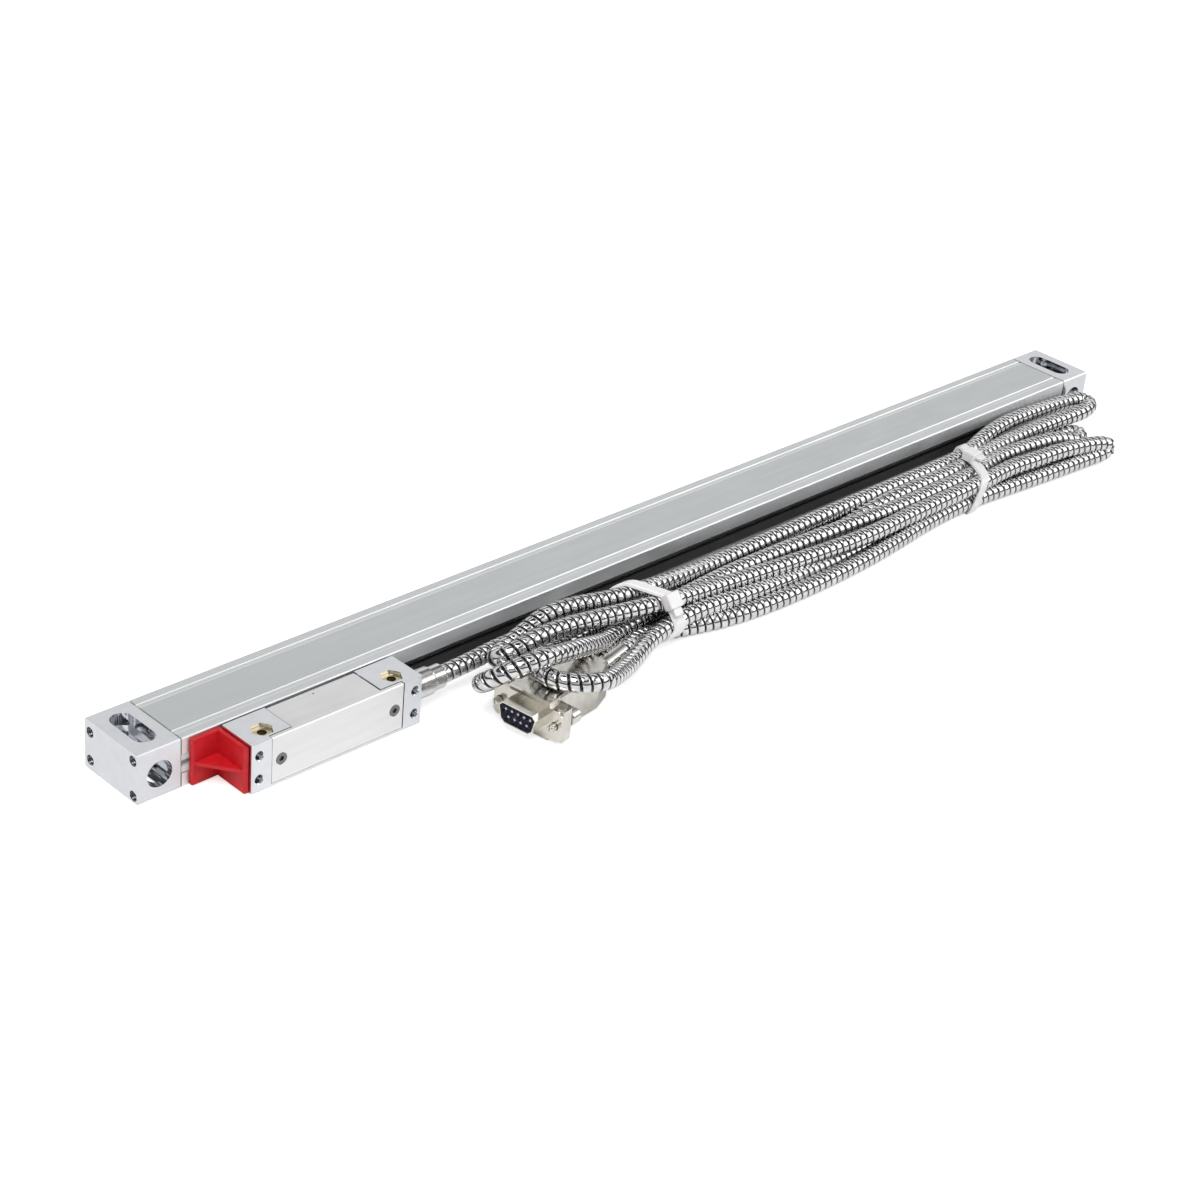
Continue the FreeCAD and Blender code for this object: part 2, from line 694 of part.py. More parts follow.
def lip_insert(name, side):
    """The moulded insert that closes the slot beside an end cap, with its horizontal recess."""
    piece = Piece(name)
    fit = lip_fit
    face = front + gasket_inset
    heel = jamb_back - fit
    low = lower_jamb + fit * 2
    high = upper_jamb - fit * 2
    overhang = lip_head_overhang
    neck_high = upper_jamb + lip_neck_height + fit
    neck_low = lower_jamb - lip_neck_height - fit
    head_high = upper_jamb + lip_groove_depth - fit
    head_low = lower_jamb - lip_groove_depth + fit
    outline = [(face, low), (neck_front + fit, low), (neck_front + fit, neck_low),
               (neck_front - overhang + fit, neck_low), (neck_front - overhang + fit, head_low),
               (neck_back + overhang - fit, head_low), (neck_back + overhang - fit, neck_low),
               (neck_back - fit, neck_low), (neck_back - fit, low), (heel, low), (heel, high),
               (neck_back - fit, high), (neck_back - fit, neck_high),
               (neck_back + overhang - fit, neck_high), (neck_back + overhang - fit, head_high),
               (neck_front - overhang + fit, head_high), (neck_front - overhang + fit, neck_high),
               (neck_front + fit, neck_high), (neck_front + fit, high), (face, high),
               (face, lip_middle + lip_insert_slot / 2),
               (face + lip_insert_slot_depth, lip_middle + lip_insert_slot / 2),
               (face + lip_insert_slot_depth, lip_middle - lip_insert_slot / 2),
               (face, lip_middle - lip_insert_slot / 2)]
    if side > 0:
        piece.pad("YZ_Plane", lip_end, profile_end, Polygon(outline))
    else:
        piece.pad("YZ_Plane", -profile_end, -lip_end, Polygon(outline))


def glass_scale():
    piece = Piece("glass_scale")
    piece.pad("YZ_Plane", -glass_half_length, glass_half_length,
              rectangle(glass_front, glass_back, glass_seat_height, glass_top))


def scale_retainer():
    piece = Piece("scale_retainer")
    piece.pad("YZ_Plane", -glass_half_length, glass_half_length,
              rectangle(glass_back - retainer_width, glass_back, glass_top, glass_top + retainer_thickness))


def end_gasket(name, side):
    piece = Piece(name)
    inset = gasket_inset
    spigot = cap_spigot_fit
    ring = bevelled_rectangle(front + inset, back - inset, inset, housing_height - inset, edge_bevel)
    window = rectangle(jamb_back + spigot, cavity_back - spigot, floor + spigot, roof - spigot)
    holes = [Circle(y, z, cap_screw_radius + screw_fit) for y, z in cap_screw_places()]
    if side > 0:
        piece.pad("YZ_Plane", profile_end, cap_face, ring, window, *holes)
    else:
        piece.pad("YZ_Plane", -cap_face, -profile_end, ring, window, *holes)


# End caps: a slotted hole down through the cap and a stepped bore from the front


def end_cap(name, side):
    piece = Piece(name)
    spigot = cap_spigot_fit + lip_fit
    outer = overall_length / 2

    def span(near, far):
        """Places along X from near the middle to the outer end, in rising order."""
        if side > 0:
            return near, far
        return -far, -near

    body = bevelled_rectangle(front, back, 0, housing_height, edge_bevel)
    piece.pad("YZ_Plane", *span(cap_face, outer), body)
    plug = rectangle(jamb_back + spigot, cavity_back - spigot, floor + spigot, roof - spigot)
    piece.pad("YZ_Plane", *span(spigot_end, cap_face), plug)
    hole_x = mount_hole_x * side
    recess = Obround(hole_x, mount_slot_offset, slot_recess_length, slot_recess_width)
    piece.pocket("XY_Plane", housing_height - slot_recess_depth, housing_height, recess)
    slot = Obround(hole_x, mount_slot_offset, mount_slot_length, mount_slot_width)
    piece.pocket("XY_Plane", 0, housing_height - slot_recess_depth, slot)
    bore_recess = Circle(hole_x, mount_bore_height, bore_recess_radius)
    piece.pocket("XZ_Plane", front, front + bore_recess_depth, bore_recess)
    bore = Circle(hole_x, mount_bore_height, mount_bore_radius)
    piece.pocket("XZ_Plane", front + bore_recess_depth, back, bore)
    recess_depth = cap_screw_head_height + cap_screw_sink
    recess_radius = cap_screw_head_radius + head_recess_fit
    recesses = [Circle(y, z, recess_radius) for y, z in cap_screw_places()]
    piece.pocket("YZ_Plane", *span(outer - recess_depth, outer), *recesses)
    ways = [Circle(y, z, cap_screw_radius + screw_fit) for y, z in cap_screw_places()]
    piece.pocket("YZ_Plane", *span(cap_face, outer - recess_depth), *ways)


def end_cap_screws():
    screws = []
    length = cap_length - cap_screw_sink - cap_screw_head_height + gasket_thickness + cap_screw_grip
    for side, turn in ((-1, TURN_TO_MINUS_X), (1, TURN_TO_X)):
        for index, (y, z) in enumerate(cap_screw_places()):
            name = "cap_screw_%s_%d" % ("left" if side < 0 else "right", index)
            screw = socket_screw(name, cap_screw_radius, length, cap_screw_head_radius,
                                 cap_screw_head_height, cap_screw_socket)
            place(screw, (overall_length / 2 - cap_screw_sink) * side, y, z, turn)
            screws.append(screw)
    group("end_cap_screws", screws)


# Reading head


def flat_hole(x, z, radius):
    return Circle(head_centre + x, z, radius)


def tapped_hole_places():
    return [(tapped_hole_spacing * a / 2, head_middle + tapped_hole_rise * b / 2)
            for a in (-1, 1) for b in (-1, 1)]


def head_block():
    piece = Piece("head_block")
    piece.pad("XY_Plane", head_bottom, head_top,
              bevelled_rectangle(head_left, head_right, head_front, head_back, head_edge_bevel))
    rebate = cover_half_length + cover_seam
    piece.pocket("XZ_Plane", head_front, rebate_back,
                 rectangle(head_centre - rebate, head_centre + rebate, head_bottom + cover_sill, head_top))
    cavity = cavity_half_length
    piece.pocket("XZ_Plane", rebate_back, cavity_rear,
                 rectangle(head_centre - cavity, head_centre + cavity,
                           head_bottom + cavity_floor, head_top - cavity_roof))
    tongue = tongue_half_length + cover_seam
    piece.pocket("XY_Plane", tongue_floor, head_top,
                 rectangle(head_centre - tongue, head_centre + tongue + cover_seam * 2,
                           rebate_back, head_back))
    nut_floor = head_top - nut_sink - nut_height
    for side in (-1, 1):
        x = head_centre + clamp_hole_spacing * side / 2
        piece.pocket("XY_Plane", nut_floor, head_top,
                     hexagon(x, clamp_hole_y, nut_across_flats + nut_fit * 2))
        piece.pocket("XY_Plane", head_bottom, nut_floor, Circle(x, clamp_hole_y, clamp_hole_radius))
    piece.pocket("XZ_Plane", head_front, head_front + tapped_hole_depth,
                 *[flat_hole(x, z, tapped_hole_radius) for x, z in tapped_hole_places()])
    screw_end = head_front + cover_screw_head_height + cover_screw_length
    piece.pocket("XZ_Plane", rebate_back, screw_end + screw_fit,
                 *[flat_hole(cover_screw_spacing * side / 2, head_middle, cover_screw_radius + screw_fit)
                   for side in (-1, 1)])
    piece.pocket("XZ_Plane", head_back - blade_root - blade_fit, head_back,
                 rectangle(head_centre + blade_left - blade_fit, head_centre + blade_right + blade_fit,
                           blade_bottom - blade_fit, blade_top + blade_fit))
    piece.pocket("XZ_Plane", cavity_rear, head_back,
                 rectangle(head_centre + ribbon_left - ribbon_fit,
                           head_centre + ribbon_left + ribbon_width + ribbon_fit,
                           lip_middle - ribbon_thickness / 2 - ribbon_fit,
                           lip_middle + ribbon_thickness / 2 + ribbon_fit))
    stub_end = head_right - gland_stub_length
    piece.pocket("YZ_Plane", stub_end, head_right,
                 Circle(gland_y, head_middle, gland_stub_radius + screw_fit))
    piece.pocket("YZ_Plane", head_centre + cavity_half_length, stub_end,
                 Circle(cavity_rear - wire_way_radius - wire_way_inset, head_middle, wire_way_radius))
    posts = [flat_hole(board_post_span * a / 2, head_middle + board_post_rise * b / 2, board_post_radius)
             for a in (-1, 1) for b in (-1, 1)]
    piece.pad("XZ_Plane", cavity_rear - board_standoff, cavity_rear, *posts)

    def tapped_rim(edge):
        if not hasattr(edge.Curve, "Radius") or abs(edge.Curve.Radius - tapped_hole_radius.number) > 0.01:
            return False
        return abs(edge.BoundBox.YMax - head_front.number) < 0.01

    piece.trimmed("Chamfer", tapped_hole_bevel, tapped_rim)


def head_cover():
    piece = Piece("head_cover")
    half = cover_half_length
    sill = head_bottom + cover_sill + cover_seam
    plate = rectangle(head_centre - half, head_centre + half - cover_seam * 2, sill, head_top)
    piece.pad("XZ_Plane", head_front, cover_back, plate)
    tongue = tongue_half_length
    roof_plate = rectangle(head_centre - tongue, head_centre + tongue - cover_seam * 2,
                           cover_back, head_back - tongue_back_gap)
    piece.pad("XY_Plane", tongue_floor, head_top, roof_plate)
    for side in (-1, 1):
        x = cover_screw_spacing * side / 2
        piece.pocket("XZ_Plane", head_front, head_front + cover_screw_head_height,
                     flat_hole(x, head_middle, cover_screw_head_radius + head_recess_fit))
        piece.pocket("XZ_Plane", head_front + cover_screw_head_height, cover_back,
                     flat_hole(x, head_middle, cover_screw_radius + screw_fit))

    def front_top(edge):
        box_ = edge.BoundBox
        flat = box_.ZLength < 0.01 and abs(box_.ZMax - head_top.number) < 0.01
        return flat and abs(box_.YMax - head_front.number) < 0.01

    piece.trimmed("Chamfer", head_edge_bevel, front_top)


def cover_gasket():
    piece = Piece("cover_gasket")
    seam = cover_seam
    edge = cover_half_length - cover_gasket_inset
    ring = rectangle(head_centre - edge, head_centre + edge, head_bottom + cover_sill + seam + cover_gasket_sill,
                     tongue_floor - seam)
    window = rectangle(head_centre - cavity_half_length, head_centre + cavity_half_length,
                       head_bottom + cavity_floor, head_top - cavity_roof)
    holes = [flat_hole(cover_screw_spacing * side / 2, head_middle, cover_screw_radius + screw_fit)
             for side in (-1, 1)]
    piece.pad("XZ_Plane", cover_back, rebate_back, ring, window, *holes)


def cover_screws():
    screws = []
    for side in (-1, 1):
        name = "cover_screw_%s" % ("left" if side < 0 else "right")
        screw = socket_screw(name, cover_screw_radius, cover_screw_length, cover_screw_head_radius,
                             cover_screw_head_height, cover_screw_socket)
        place(screw, head_centre + cover_screw_spacing * side / 2, head_front, head_middle, TURN_TO_MINUS_Y)
        screws.append(screw)
    group("cover_screws", screws)


def clamp_nuts():
    nuts = []
    for side in (-1, 1):
        label = "left" if side < 0 else "right"
        body = doc.addObject("Part::Prism", "clamp_nut_body_" + label)
        body.Polygon = 6
        body.setExpression("Circumradius", nut_across_flats.text + " / 1.7320508")
        body.setExpression("Height", nut_height.text)
        hole = cylinder("clamp_nut_hole_" + label, nut_bore_radius, nut_height)
        nut = joined("clamp_nut_" + label, "Cut", [body, hole])
        x = head_centre + clamp_hole_spacing * side / 2
        place(nut, x, clamp_hole_y, head_top - nut_sink - nut_height)
        nuts.append(nut)
    group("clamp_nuts", nuts)


# Chips and header on the circuit board: place along the head, half length, half height
BOARD_CHIPS = ((-12, 5, 3), (1, 3.5, 3.5), (14, 2.5, 4.5))


def interface_board():
    """The head's circuit board, on four posts, with its driver chips and wire header."""
    piece = Piece("interface_board")
    half = cavity_half_length - board_side_gap
    low = head_bottom + cavity_floor + board_side_gap
    high = head_top - cavity_roof - board_side_gap
    rear = cavity_rear - board_standoff
    face = rear - board_thickness
    piece.pad("XZ_Plane", face, rear, rectangle(head_centre - half, head_centre + half, low, high))
    chips = [rectangle(head_centre + x - w, head_centre + x + w, head_middle - h, head_middle + h)
             for x, w, h in BOARD_CHIPS]
    piece.pad("XZ_Plane", face - chip_height, face, *chips)


def coupling_blade():
    """The spring steel blade that carries the motion through the lips."""
    piece = Piece("coupling_blade")
    left = head_centre + blade_left
    right = head_centre + blade_right
    piece.pad("XY_Plane", blade_bottom, blade_top,
              rectangle(left, right, head_back - blade_root, blade_tip))


def signal_ribbon():
    """The flat lead from the detector board to the head's circuit board, folded inside the carriage."""
    piece = Piece("signal_ribbon")
    half = ribbon_thickness / 2
    level = detector_board_level()
    fold = blade_tip - ribbon_fold_inset
    start = cavity_rear - board_standoff
    piece.pad("YZ_Plane", head_centre + ribbon_left, head_centre + ribbon_left + ribbon_width,
              Polygon([(start, lip_middle - half), (fold - half, lip_middle - half), (fold - half, level - half),
                       (throat_front + ribbon_end_gap, level - half), (throat_front + ribbon_end_gap, level + half),
                       (fold + half, level + half), (fold + half, lip_middle + half),
                       (start, lip_middle + half)]))


# Roller carriage inside the housing


def detector_board_level():
    return throat_floor - reticle_thickness - detector_thickness / 2


def face_rollers():
    """Rollers on the glass's upper face: name, place along the head, and Y of the roller's middle."""
    outer = carriage_rear - face_roller_inset
    inner = carriage_rear - middle_roller_inset
    return [("left", -face_roller_spread, outer), ("middle", measure(0), inner),
            ("right", face_roller_spread, outer)]


def edge_rollers():
    """Rollers on the glass's front edge: name and place along the head."""
    return [("left", -edge_roller_spread), ("right", edge_roller_spread)]


def roller_window(x):
    reach = roller_radius + roller_pocket_gap
    return head_centre + x - reach, head_centre + x + reach


def carriage_frame():
    piece = Piece("carriage_frame")
    half = carriage_length / 2
    corner = carriage_bevel
    outline = [(carriage_front + corner, carriage_floor), (carriage_rear, carriage_floor),
               (carriage_rear, throat_floor), (throat_front, throat_floor), (throat_front, throat_roof),
               (carriage_rear, throat_roof), (carriage_rear, carriage_roof),
               (carriage_front + corner, carriage_roof), (carriage_front, carriage_roof - corner),
               (carriage_front, carriage_floor + corner)]
    piece.pad("YZ_Plane", head_centre - half, head_centre + half, Polygon(outline))
    slot = roller_width / 2 + roller_side_gap
    for _, x, y in face_rollers():
        low, high = roller_window(x)
        piece.pocket("XY_Plane", throat_roof, carriage_roof, rectangle(low, high, y - slot, y + slot))
    axle_z = glass_top + roller_gap + roller_radius
    for _, x, y in face_rollers():
        piece.pocket("XZ_Plane", y - slot - roller_radius / 2, carriage_rear,
                     Circle(head_centre + x, axle_z, roller_pin_radius + roller_pin_fit))
    axle_y = glass_front - roller_gap - roller_radius
    middle = glass_seat_height + glass_thickness / 2
    for _, x in edge_rollers():
        low, high = roller_window(x)
        piece.pocket("XY_Plane", middle - slot, middle + slot,
                     rectangle(low, high, axle_y - roller_radius - roller_pocket_gap, throat_front))
        piece.pocket("XY_Plane", middle - slot - edge_pin_grip, middle + slot + edge_pin_grip,
                     Circle(head_centre + x, axle_y, roller_pin_radius + roller_pin_fit))
    gap = blade_pocket_gap
    piece.pocket("XZ_Plane", carriage_front, blade_tip + gap,
                 rectangle(head_centre + blade_left - gap, head_centre + blade_right + gap,
                           blade_bottom - gap, blade_top + spring_room))
    half_way = ribbon_thickness / 2 + ribbon_fit
    level = detector_board_level()
    fold = blade_tip - ribbon_fold_inset
    way = Polygon([(carriage_front, lip_middle - half_way), (fold - half_way, lip_middle - half_way),
                   (fold - half_way, level - half_way), (throat_front + ribbon_end_gap, level - half_way),
                   (throat_front + ribbon_end_gap, level + half_way), (fold + half_way, level + half_way),
                   (fold + half_way, lip_middle + half_way), (carriage_front, lip_middle + half_way)])
    piece.pocket("YZ_Plane", head_centre + ribbon_left - ribbon_fit,
                 head_centre + ribbon_left + ribbon_width + ribbon_fit, way)
    board_floor = level - detector_board_thickness / 2
    piece.pocket("XY_Plane", board_floor, throat_floor,
                 rectangle(head_centre - detector_board_left - detector_side_gap,
                           head_centre + ribbon_left + ribbon_width + detector_board_right + detector_side_gap,
                           throat_front, carriage_rear))
    piece.pocket("XY_Plane", throat_roof, carriage_roof,
                 Circle(head_centre + lamp_place, lamp_y(), lamp_radius + blade_fit))


def lamp_y():
    return (throat_front + carriage_rear) / 2


def about_lamp(length, width):
    x = head_centre + lamp_place
    return rectangle(x - length / 2, x + length / 2, lamp_y() - width / 2, lamp_y() + width / 2)


def roller(name, x, y, z, turn):
    """A ball-bearing outer ring that turns on its pin, with a shallow groove in each side."""
    piece = Piece(name)
    bore = roller_pin_radius + roller_pin_fit
    half = roller_width / 2
    step = roller_groove_depth
    edge = roller_bevel
    hub = bore + roller_hub_wall
    rim = roller_radius - roller_rim_wall
    piece.turned([(-half, bore), (-half, hub), (-half + step, hub), (-half + step, rim), (-half, rim),
                  (-half, roller_radius - edge), (-half + edge, roller_radius),
                  (half - edge, roller_radius), (half, roller_radius - edge), (half, rim),
                  (half - step, rim), (half - step, hub), (half, hub), (half, bore)])
    piece.place(head_centre + x, y, z, turn)


def rollers():
    axle_z = glass_top + roller_gap + roller_radius
    axle_y = glass_front - roller_gap - roller_radius
    middle = glass_seat_height + glass_thickness / 2
    turn_y = FreeCAD.Rotation(Vector(0, 0, 1), 90)
    for label, x, y in face_rollers():
        roller("face_roller_" + label, x, y, axle_z, turn_y)
    for label, x in edge_rollers():
        roller("edge_roller_" + label, x, axle_y, middle, TURN_TO_MINUS_X)


def roller_pins():
    pins = []
    axle_z = glass_top + roller_gap + roller_radius
    axle_y = glass_front - roller_gap - roller_radius
    slot = roller_width / 2 + roller_side_gap
    middle = glass_seat_height + glass_thickness / 2
    for label, x, y in face_rollers():
        start = y - slot - roller_radius / 2
        pin = cylinder("face_pin_" + label, roller_pin_radius, carriage_rear - start)
        place(pin, head_centre + x, start, axle_z, TURN_TO_Y)
        pins.append(pin)
    for label, x in edge_rollers():
        pin = cylinder("edge_pin_" + label, roller_pin_radius, (slot + edge_pin_grip) * 2)
        place(pin, head_centre + x, axle_y, middle - slot - edge_pin_grip)
        pins.append(pin)
    group("roller_pins", pins)


def preload_spring():
    """The bowed leaf spring that presses the carriage on to the glass."""
    piece = Piece("preload_spring")
    top = blade_top + spring_room - blade_fit
    foot = spring_foot
    low = blade_top + blade_fit + spring_thickness
    left = head_centre + blade_left + spring_end_inset
    right = head_centre + blade_right - spring_end_inset
    middle = (left + right) / 2
    line = [(left, top), (left + foot, top), (middle - foot, low), (middle + foot, low),
            (right - foot, top), (right, top)]
    under = [(x, z - spring_thickness) for x, z in reversed(line)]
    piece.pad("XZ_Plane", carriage_front + spring_front_gap, blade_tip - spring_back_gap, Polygon(line + under))


def detector_parts():
    board = Piece("detector_board")
    level = detector_board_level()
    low = level - detector_board_thickness / 2
    left = head_centre - detector_board_left
    right = head_centre + ribbon_left + ribbon_width + detector_board_right
    board.pad("XY_Plane", low, low + detector_board_thickness,
              rectangle(left, right, throat_front + detector_side_gap, carriage_rear - detector_back_gap))
    chip_low = low + detector_board_thickness
    board.pad("XY_Plane", chip_low, chip_low + detector_thickness,
              about_lamp(detector_length, detector_width))
    reticle = Piece("scanning_reticle")
    reticle.pad("XY_Plane", chip_low + detector_thickness, chip_low + detector_thickness + reticle_thickness,
                about_lamp(reticle_length, reticle_width))


def lamp_parts():
    x = head_centre + lamp_place
    lamp = Piece("lamp_unit")
    lens_top = throat_roof + lens_room
    lamp.pad("XY_Plane", lens_top, carriage_roof - lamp_roof_gap, Circle(x, lamp_y(), lamp_radius))
    lens = Piece("condenser_lens")
    edge = lamp_radius - lens_edge_gap
    bulge = lens_crown - lens_edge
    rings = [(lens_edge + bulge * math.sin(turn), edge * math.cos(turn))
             for turn in (math.radians(degrees) for degrees in (0, 30, 60))]
    lens.turned([(measure(0), measure(0)), (measure(0), edge)] + rings + [(lens_crown, measure(0))])
    lens.place(x, lamp_y(), lens_top, FreeCAD.Rotation(Vector(0, 1, 0), 90))


# Gland


def gland():
    collar = Piece("gland_collar")
    bevel = gland_bevel
    bore = gland_bore_radius
    collar.turned([(-gland_stub_length, bore), (-gland_stub_length, gland_stub_radius),
                   (measure(0), gland_stub_radius), (measure(0), gland_collar_radius),
                   (gland_collar_length - bevel, gland_collar_radius),
                   (gland_collar_length, gland_collar_radius - bevel), (gland_collar_length, bore)])
    collar.place(head_right, gland_y, head_middle)
    sleeve = Piece("gland_sleeve")
    sleeve.turned([(measure(0), bore), (measure(0), gland_sleeve_radius - bevel), (bevel, gland_sleeve_radius),
                   (gland_sleeve_length - bevel, gland_sleeve_radius),
                   (gland_sleeve_length, gland_sleeve_radius - bevel), (gland_sleeve_length, bore)])
    sleeve.place(head_right + gland_collar_length, gland_y, head_middle)


def transport_bracket():
    """An L of moulded plastic with a gusset at mid height, between the housing and the head's end."""
    piece = Piece("transport_bracket")
    inner_x = head_left - bracket_gap
    inner_y = front - bracket_gap
    left = inner_x - bracket_foot
    tip = inner_y - bracket_reach
    low = bracket_lift
    high = bracket_lift + bracket_height
    thick = bracket_thickness
    bevel = bracket_bevel
    piece.pad("XY_Plane", low, high, Polygon([
        (left, inner_y), (left, inner_y - thick + bevel), (left + bevel, inner_y - thick),
        (inner_x - thick, inner_y - thick), (inner_x - thick, tip + bevel), (inner_x - thick + bevel, tip),
        (inner_x, tip), (inner_x, inner_y)]))
    middle = low + bracket_rib_height
    piece.pad("XY_Plane", middle - bracket_rib / 2, middle + bracket_rib / 2, Polygon([
        (left + bracket_rib_inset, inner_y - thick), (inner_x - thick, tip + bracket_rib_inset), (inner_x - thick, inner_y - thick)]))


# Plug: a nine-way plug in a die-cast hood, laid flat beside the hank
PLUG_YAW = 7.5
PLUG_CENTRE = Vector(-129.4, -59.9, 8.0)
EXIT_YAW = 14.0


def plug_piece(name):
    piece = Piece(name)
    piece.body.Placement = FreeCAD.Placement(PLUG_CENTRE, FreeCAD.Rotation(Vector(0, 0, 1), PLUG_YAW))
    return piece


def shell_outline(inset):
    """The D shape, wider at the top."""
    half = shell_length / 2 - inset
    high = shell_height / 2 - inset
    corner = shell_corner - inset * 0.6
    slope = shell_slope
    return Polygon([(-half + slope + corner, -high), (half - slope - corner, -high),
                    (half - slope * 0.8, -high + corner), (half, high - corner), (half - corner, high),
                    (-half + corner, high), (-half, high - corner), (-half + slope * 0.8, -high + corner)])


def plug_shell():
    piece = plug_piece("plug_shell")
    half = flange_length / 2
    high = flange_height / 2
    bevel = flange_bevel
    holes = [Circle(plug_screw_spacing * side / 2, 0, jackscrew_radius + jackscrew_fit) for side in (-1, 1)]
    piece.pad("YZ_Plane", 0, flange_thickness, bevelled_rectangle(-half, half, -high, high, bevel),
              shell_outline(shell_wall), *holes)
    piece.pad("YZ_Plane", -shell_depth, 0, shell_outline(measure(0)), shell_outline(shell_wall))


def pin_places():
    """Five contacts in the upper row and four in the lower."""
    upper = [(pin_pitch * (step - 2), pin_row_spacing / 2) for step in range(5)]
    lower = [(pin_pitch * (step - 1.5), -pin_row_spacing / 2) for step in range(4)]
    return upper + lower


def plug_insulator():
    piece = plug_piece("plug_insulator")
    holes = [Circle(y, z, pin_radius + roller_pin_fit) for y, z in pin_places()]
    piece.pad("YZ_Plane", -insulator_front, flange_thickness + insulator_back,
              shell_outline(shell_wall + insulator_fit), *holes)


def contact_pins():
    pins = []
    origin = FreeCAD.Placement(PLUG_CENTRE, FreeCAD.Rotation(Vector(0, 0, 1), PLUG_YAW))
    for index, (y, z) in enumerate(pin_places()):
        pin = cylinder("contact_pin_%d" % index, pin_radius, pin_length)
        offset = FreeCAD.Placement(Vector((pin_front_inset - shell_depth).number, number_of(y), number_of(z)), TURN_TO_X)
        pin.Placement = origin.multiply(offset)
        pins.append(pin)
    group("contact_pins", pins)


def hood_half(name, up):
    """One half of the die-cast hood: ears beside the flange, a box body and a tapered nose."""
    piece = plug_piece(name)
    start = flange_thickness
    ear = start + hood_ear_length
    end = start + hood_length
    wide = flange_length / 2
    body = hood_half_width
    nose = hood_nose_half_width
    shoulder = end - hood_nose_length
    corner = hood_ear_bevel
    outline = [(start, -wide), (ear - corner, -wide), (ear, -wide + corner), (ear, -body),
               (shoulder, -body), (end, -nose), (end, nose), (shoulder, body), (ear, body),
               (ear, wide - corner), (ear - corner, wide), (start, wide)]
    half = hood_height / 2
    low, high = (measure(0), half) if up else (-half, measure(0))
    piece.pad("XY_Plane", low, high, Polygon(outline))
    inner = body - hood_wall
    throat = start + hood_throat_length
    hollow = Polygon([(start, -shell_length / 2), (throat, -inner), (shoulder, -inner),
                      (end - hood_wall * 2, -nose + hood_wall), (end - hood_wall * 2, nose - hood_wall),
                      (shoulder, inner), (throat, inner), (start, shell_length / 2)])
    skin = half - hood_wall
    if up:
        piece.pocket("XY_Plane", 0, skin, hollow)
    else:
        piece.pocket("XY_Plane", -skin, 0, hollow)
    ways = [Circle(plug_screw_spacing * side / 2, 0, jackscrew_radius + jackscrew_fit) for side in (-1, 1)]
    piece.pocket("YZ_Plane", start, ear, *ways)
    piece.pocket("YZ_Plane", end - hood_wall * 2, end, Circle(0, 0, gland_bore_radius + cord_entry_fit))
    if up:
        for step in range(5):
            x = start + ridge_start + ridge_pitch * step
            side = body - ridge_side_inset
            piece.pocket("XY_Plane", half - ridge_depth, half, rectangle(x, x + ridge_width, -side, side))
    rim = half.number if up else -half.number

    def outer_rim(edge):
        box_ = edge.BoundBox
        flat = box_.ZLength < 0.01 and abs(box_.ZMax - rim) < 0.01
        reach = max(abs(box_.YMin), abs(box_.YMax))
        return flat and reach > body.number - 0.01 and box_.XMin > ear.number - 0.01

    piece.trimmed("Fillet", hood_rounding, outer_rim)


def jackscrew(name, side):
    """A thumb screw: slotted tip through the flange and a knurled knob behind the ear."""
    piece = plug_piece(name)
    ear = flange_thickness + hood_ear_length
    knob = ear + jackscrew_gap
    end = knob + jackscrew_knob_length
    edge = jackscrew_bevel
    tip = -jackscrew_tip
    body = [(tip, measure(0)), (tip, jackscrew_radius - edge),
            (tip + edge, jackscrew_radius), (knob, jackscrew_radius),
            (knob, jackscrew_knob_radius - edge), (knob + edge, jackscrew_knob_radius),
            (end - edge, jackscrew_knob_radius), (end, jackscrew_knob_radius - edge), (end, measure(0))]
    piece.turned(body)
    slot = jackscrew_slot_width / 2
    piece.pocket("YZ_Plane", end - jackscrew_slot_depth, end,
                 rectangle(-slot, slot, -jackscrew_knob_radius * 2, jackscrew_knob_radius * 2))
    slot = jackscrew_tip_slot / 2
    piece.pocket("YZ_Plane", tip, tip + jackscrew_slot_depth,
                 rectangle(-slot, slot, -jackscrew_radius * 2, jackscrew_radius * 2))
    offset = FreeCAD.Placement(Vector(0, plug_screw_spacing.number * side / 2, 0), FreeCAD.Rotation())
    piece.body.Placement = piece.body.Placement.multiply(offset)


def ferrule_placement():
    """The ferrule leaves the hood's nose along the cord's own direction."""
    nose = Vector(flange_thickness.number + hood_length.number, 0, 0)
    spin = FreeCAD.Rotation(Vector(0, 0, 1), PLUG_YAW)
    base = PLUG_CENTRE + spin.multVec(nose)
    return FreeCAD.Placement(base, FreeCAD.Rotation(Vector(0, 0, 1), EXIT_YAW))


def hood_ferrule():
    piece = Piece("hood_ferrule")
    bore = gland_bore_radius
    collar = ferrule_gap + ferrule_collar_length
    gap = ferrule_gap
    edge = ferrule_bevel
    piece.turned([(gap, bore), (gap, ferrule_collar_radius - edge), (gap + edge, ferrule_collar_radius),
                  (collar, ferrule_collar_radius), (collar, ferrule_radius),
                  (ferrule_length - edge, ferrule_radius), (ferrule_length, ferrule_radius - edge),
                  (ferrule_length, bore)])
    piece.body.Placement = ferrule_placement()


# Cord: a lead from the gland, the tied hank, and a tail to the plug's ferrule


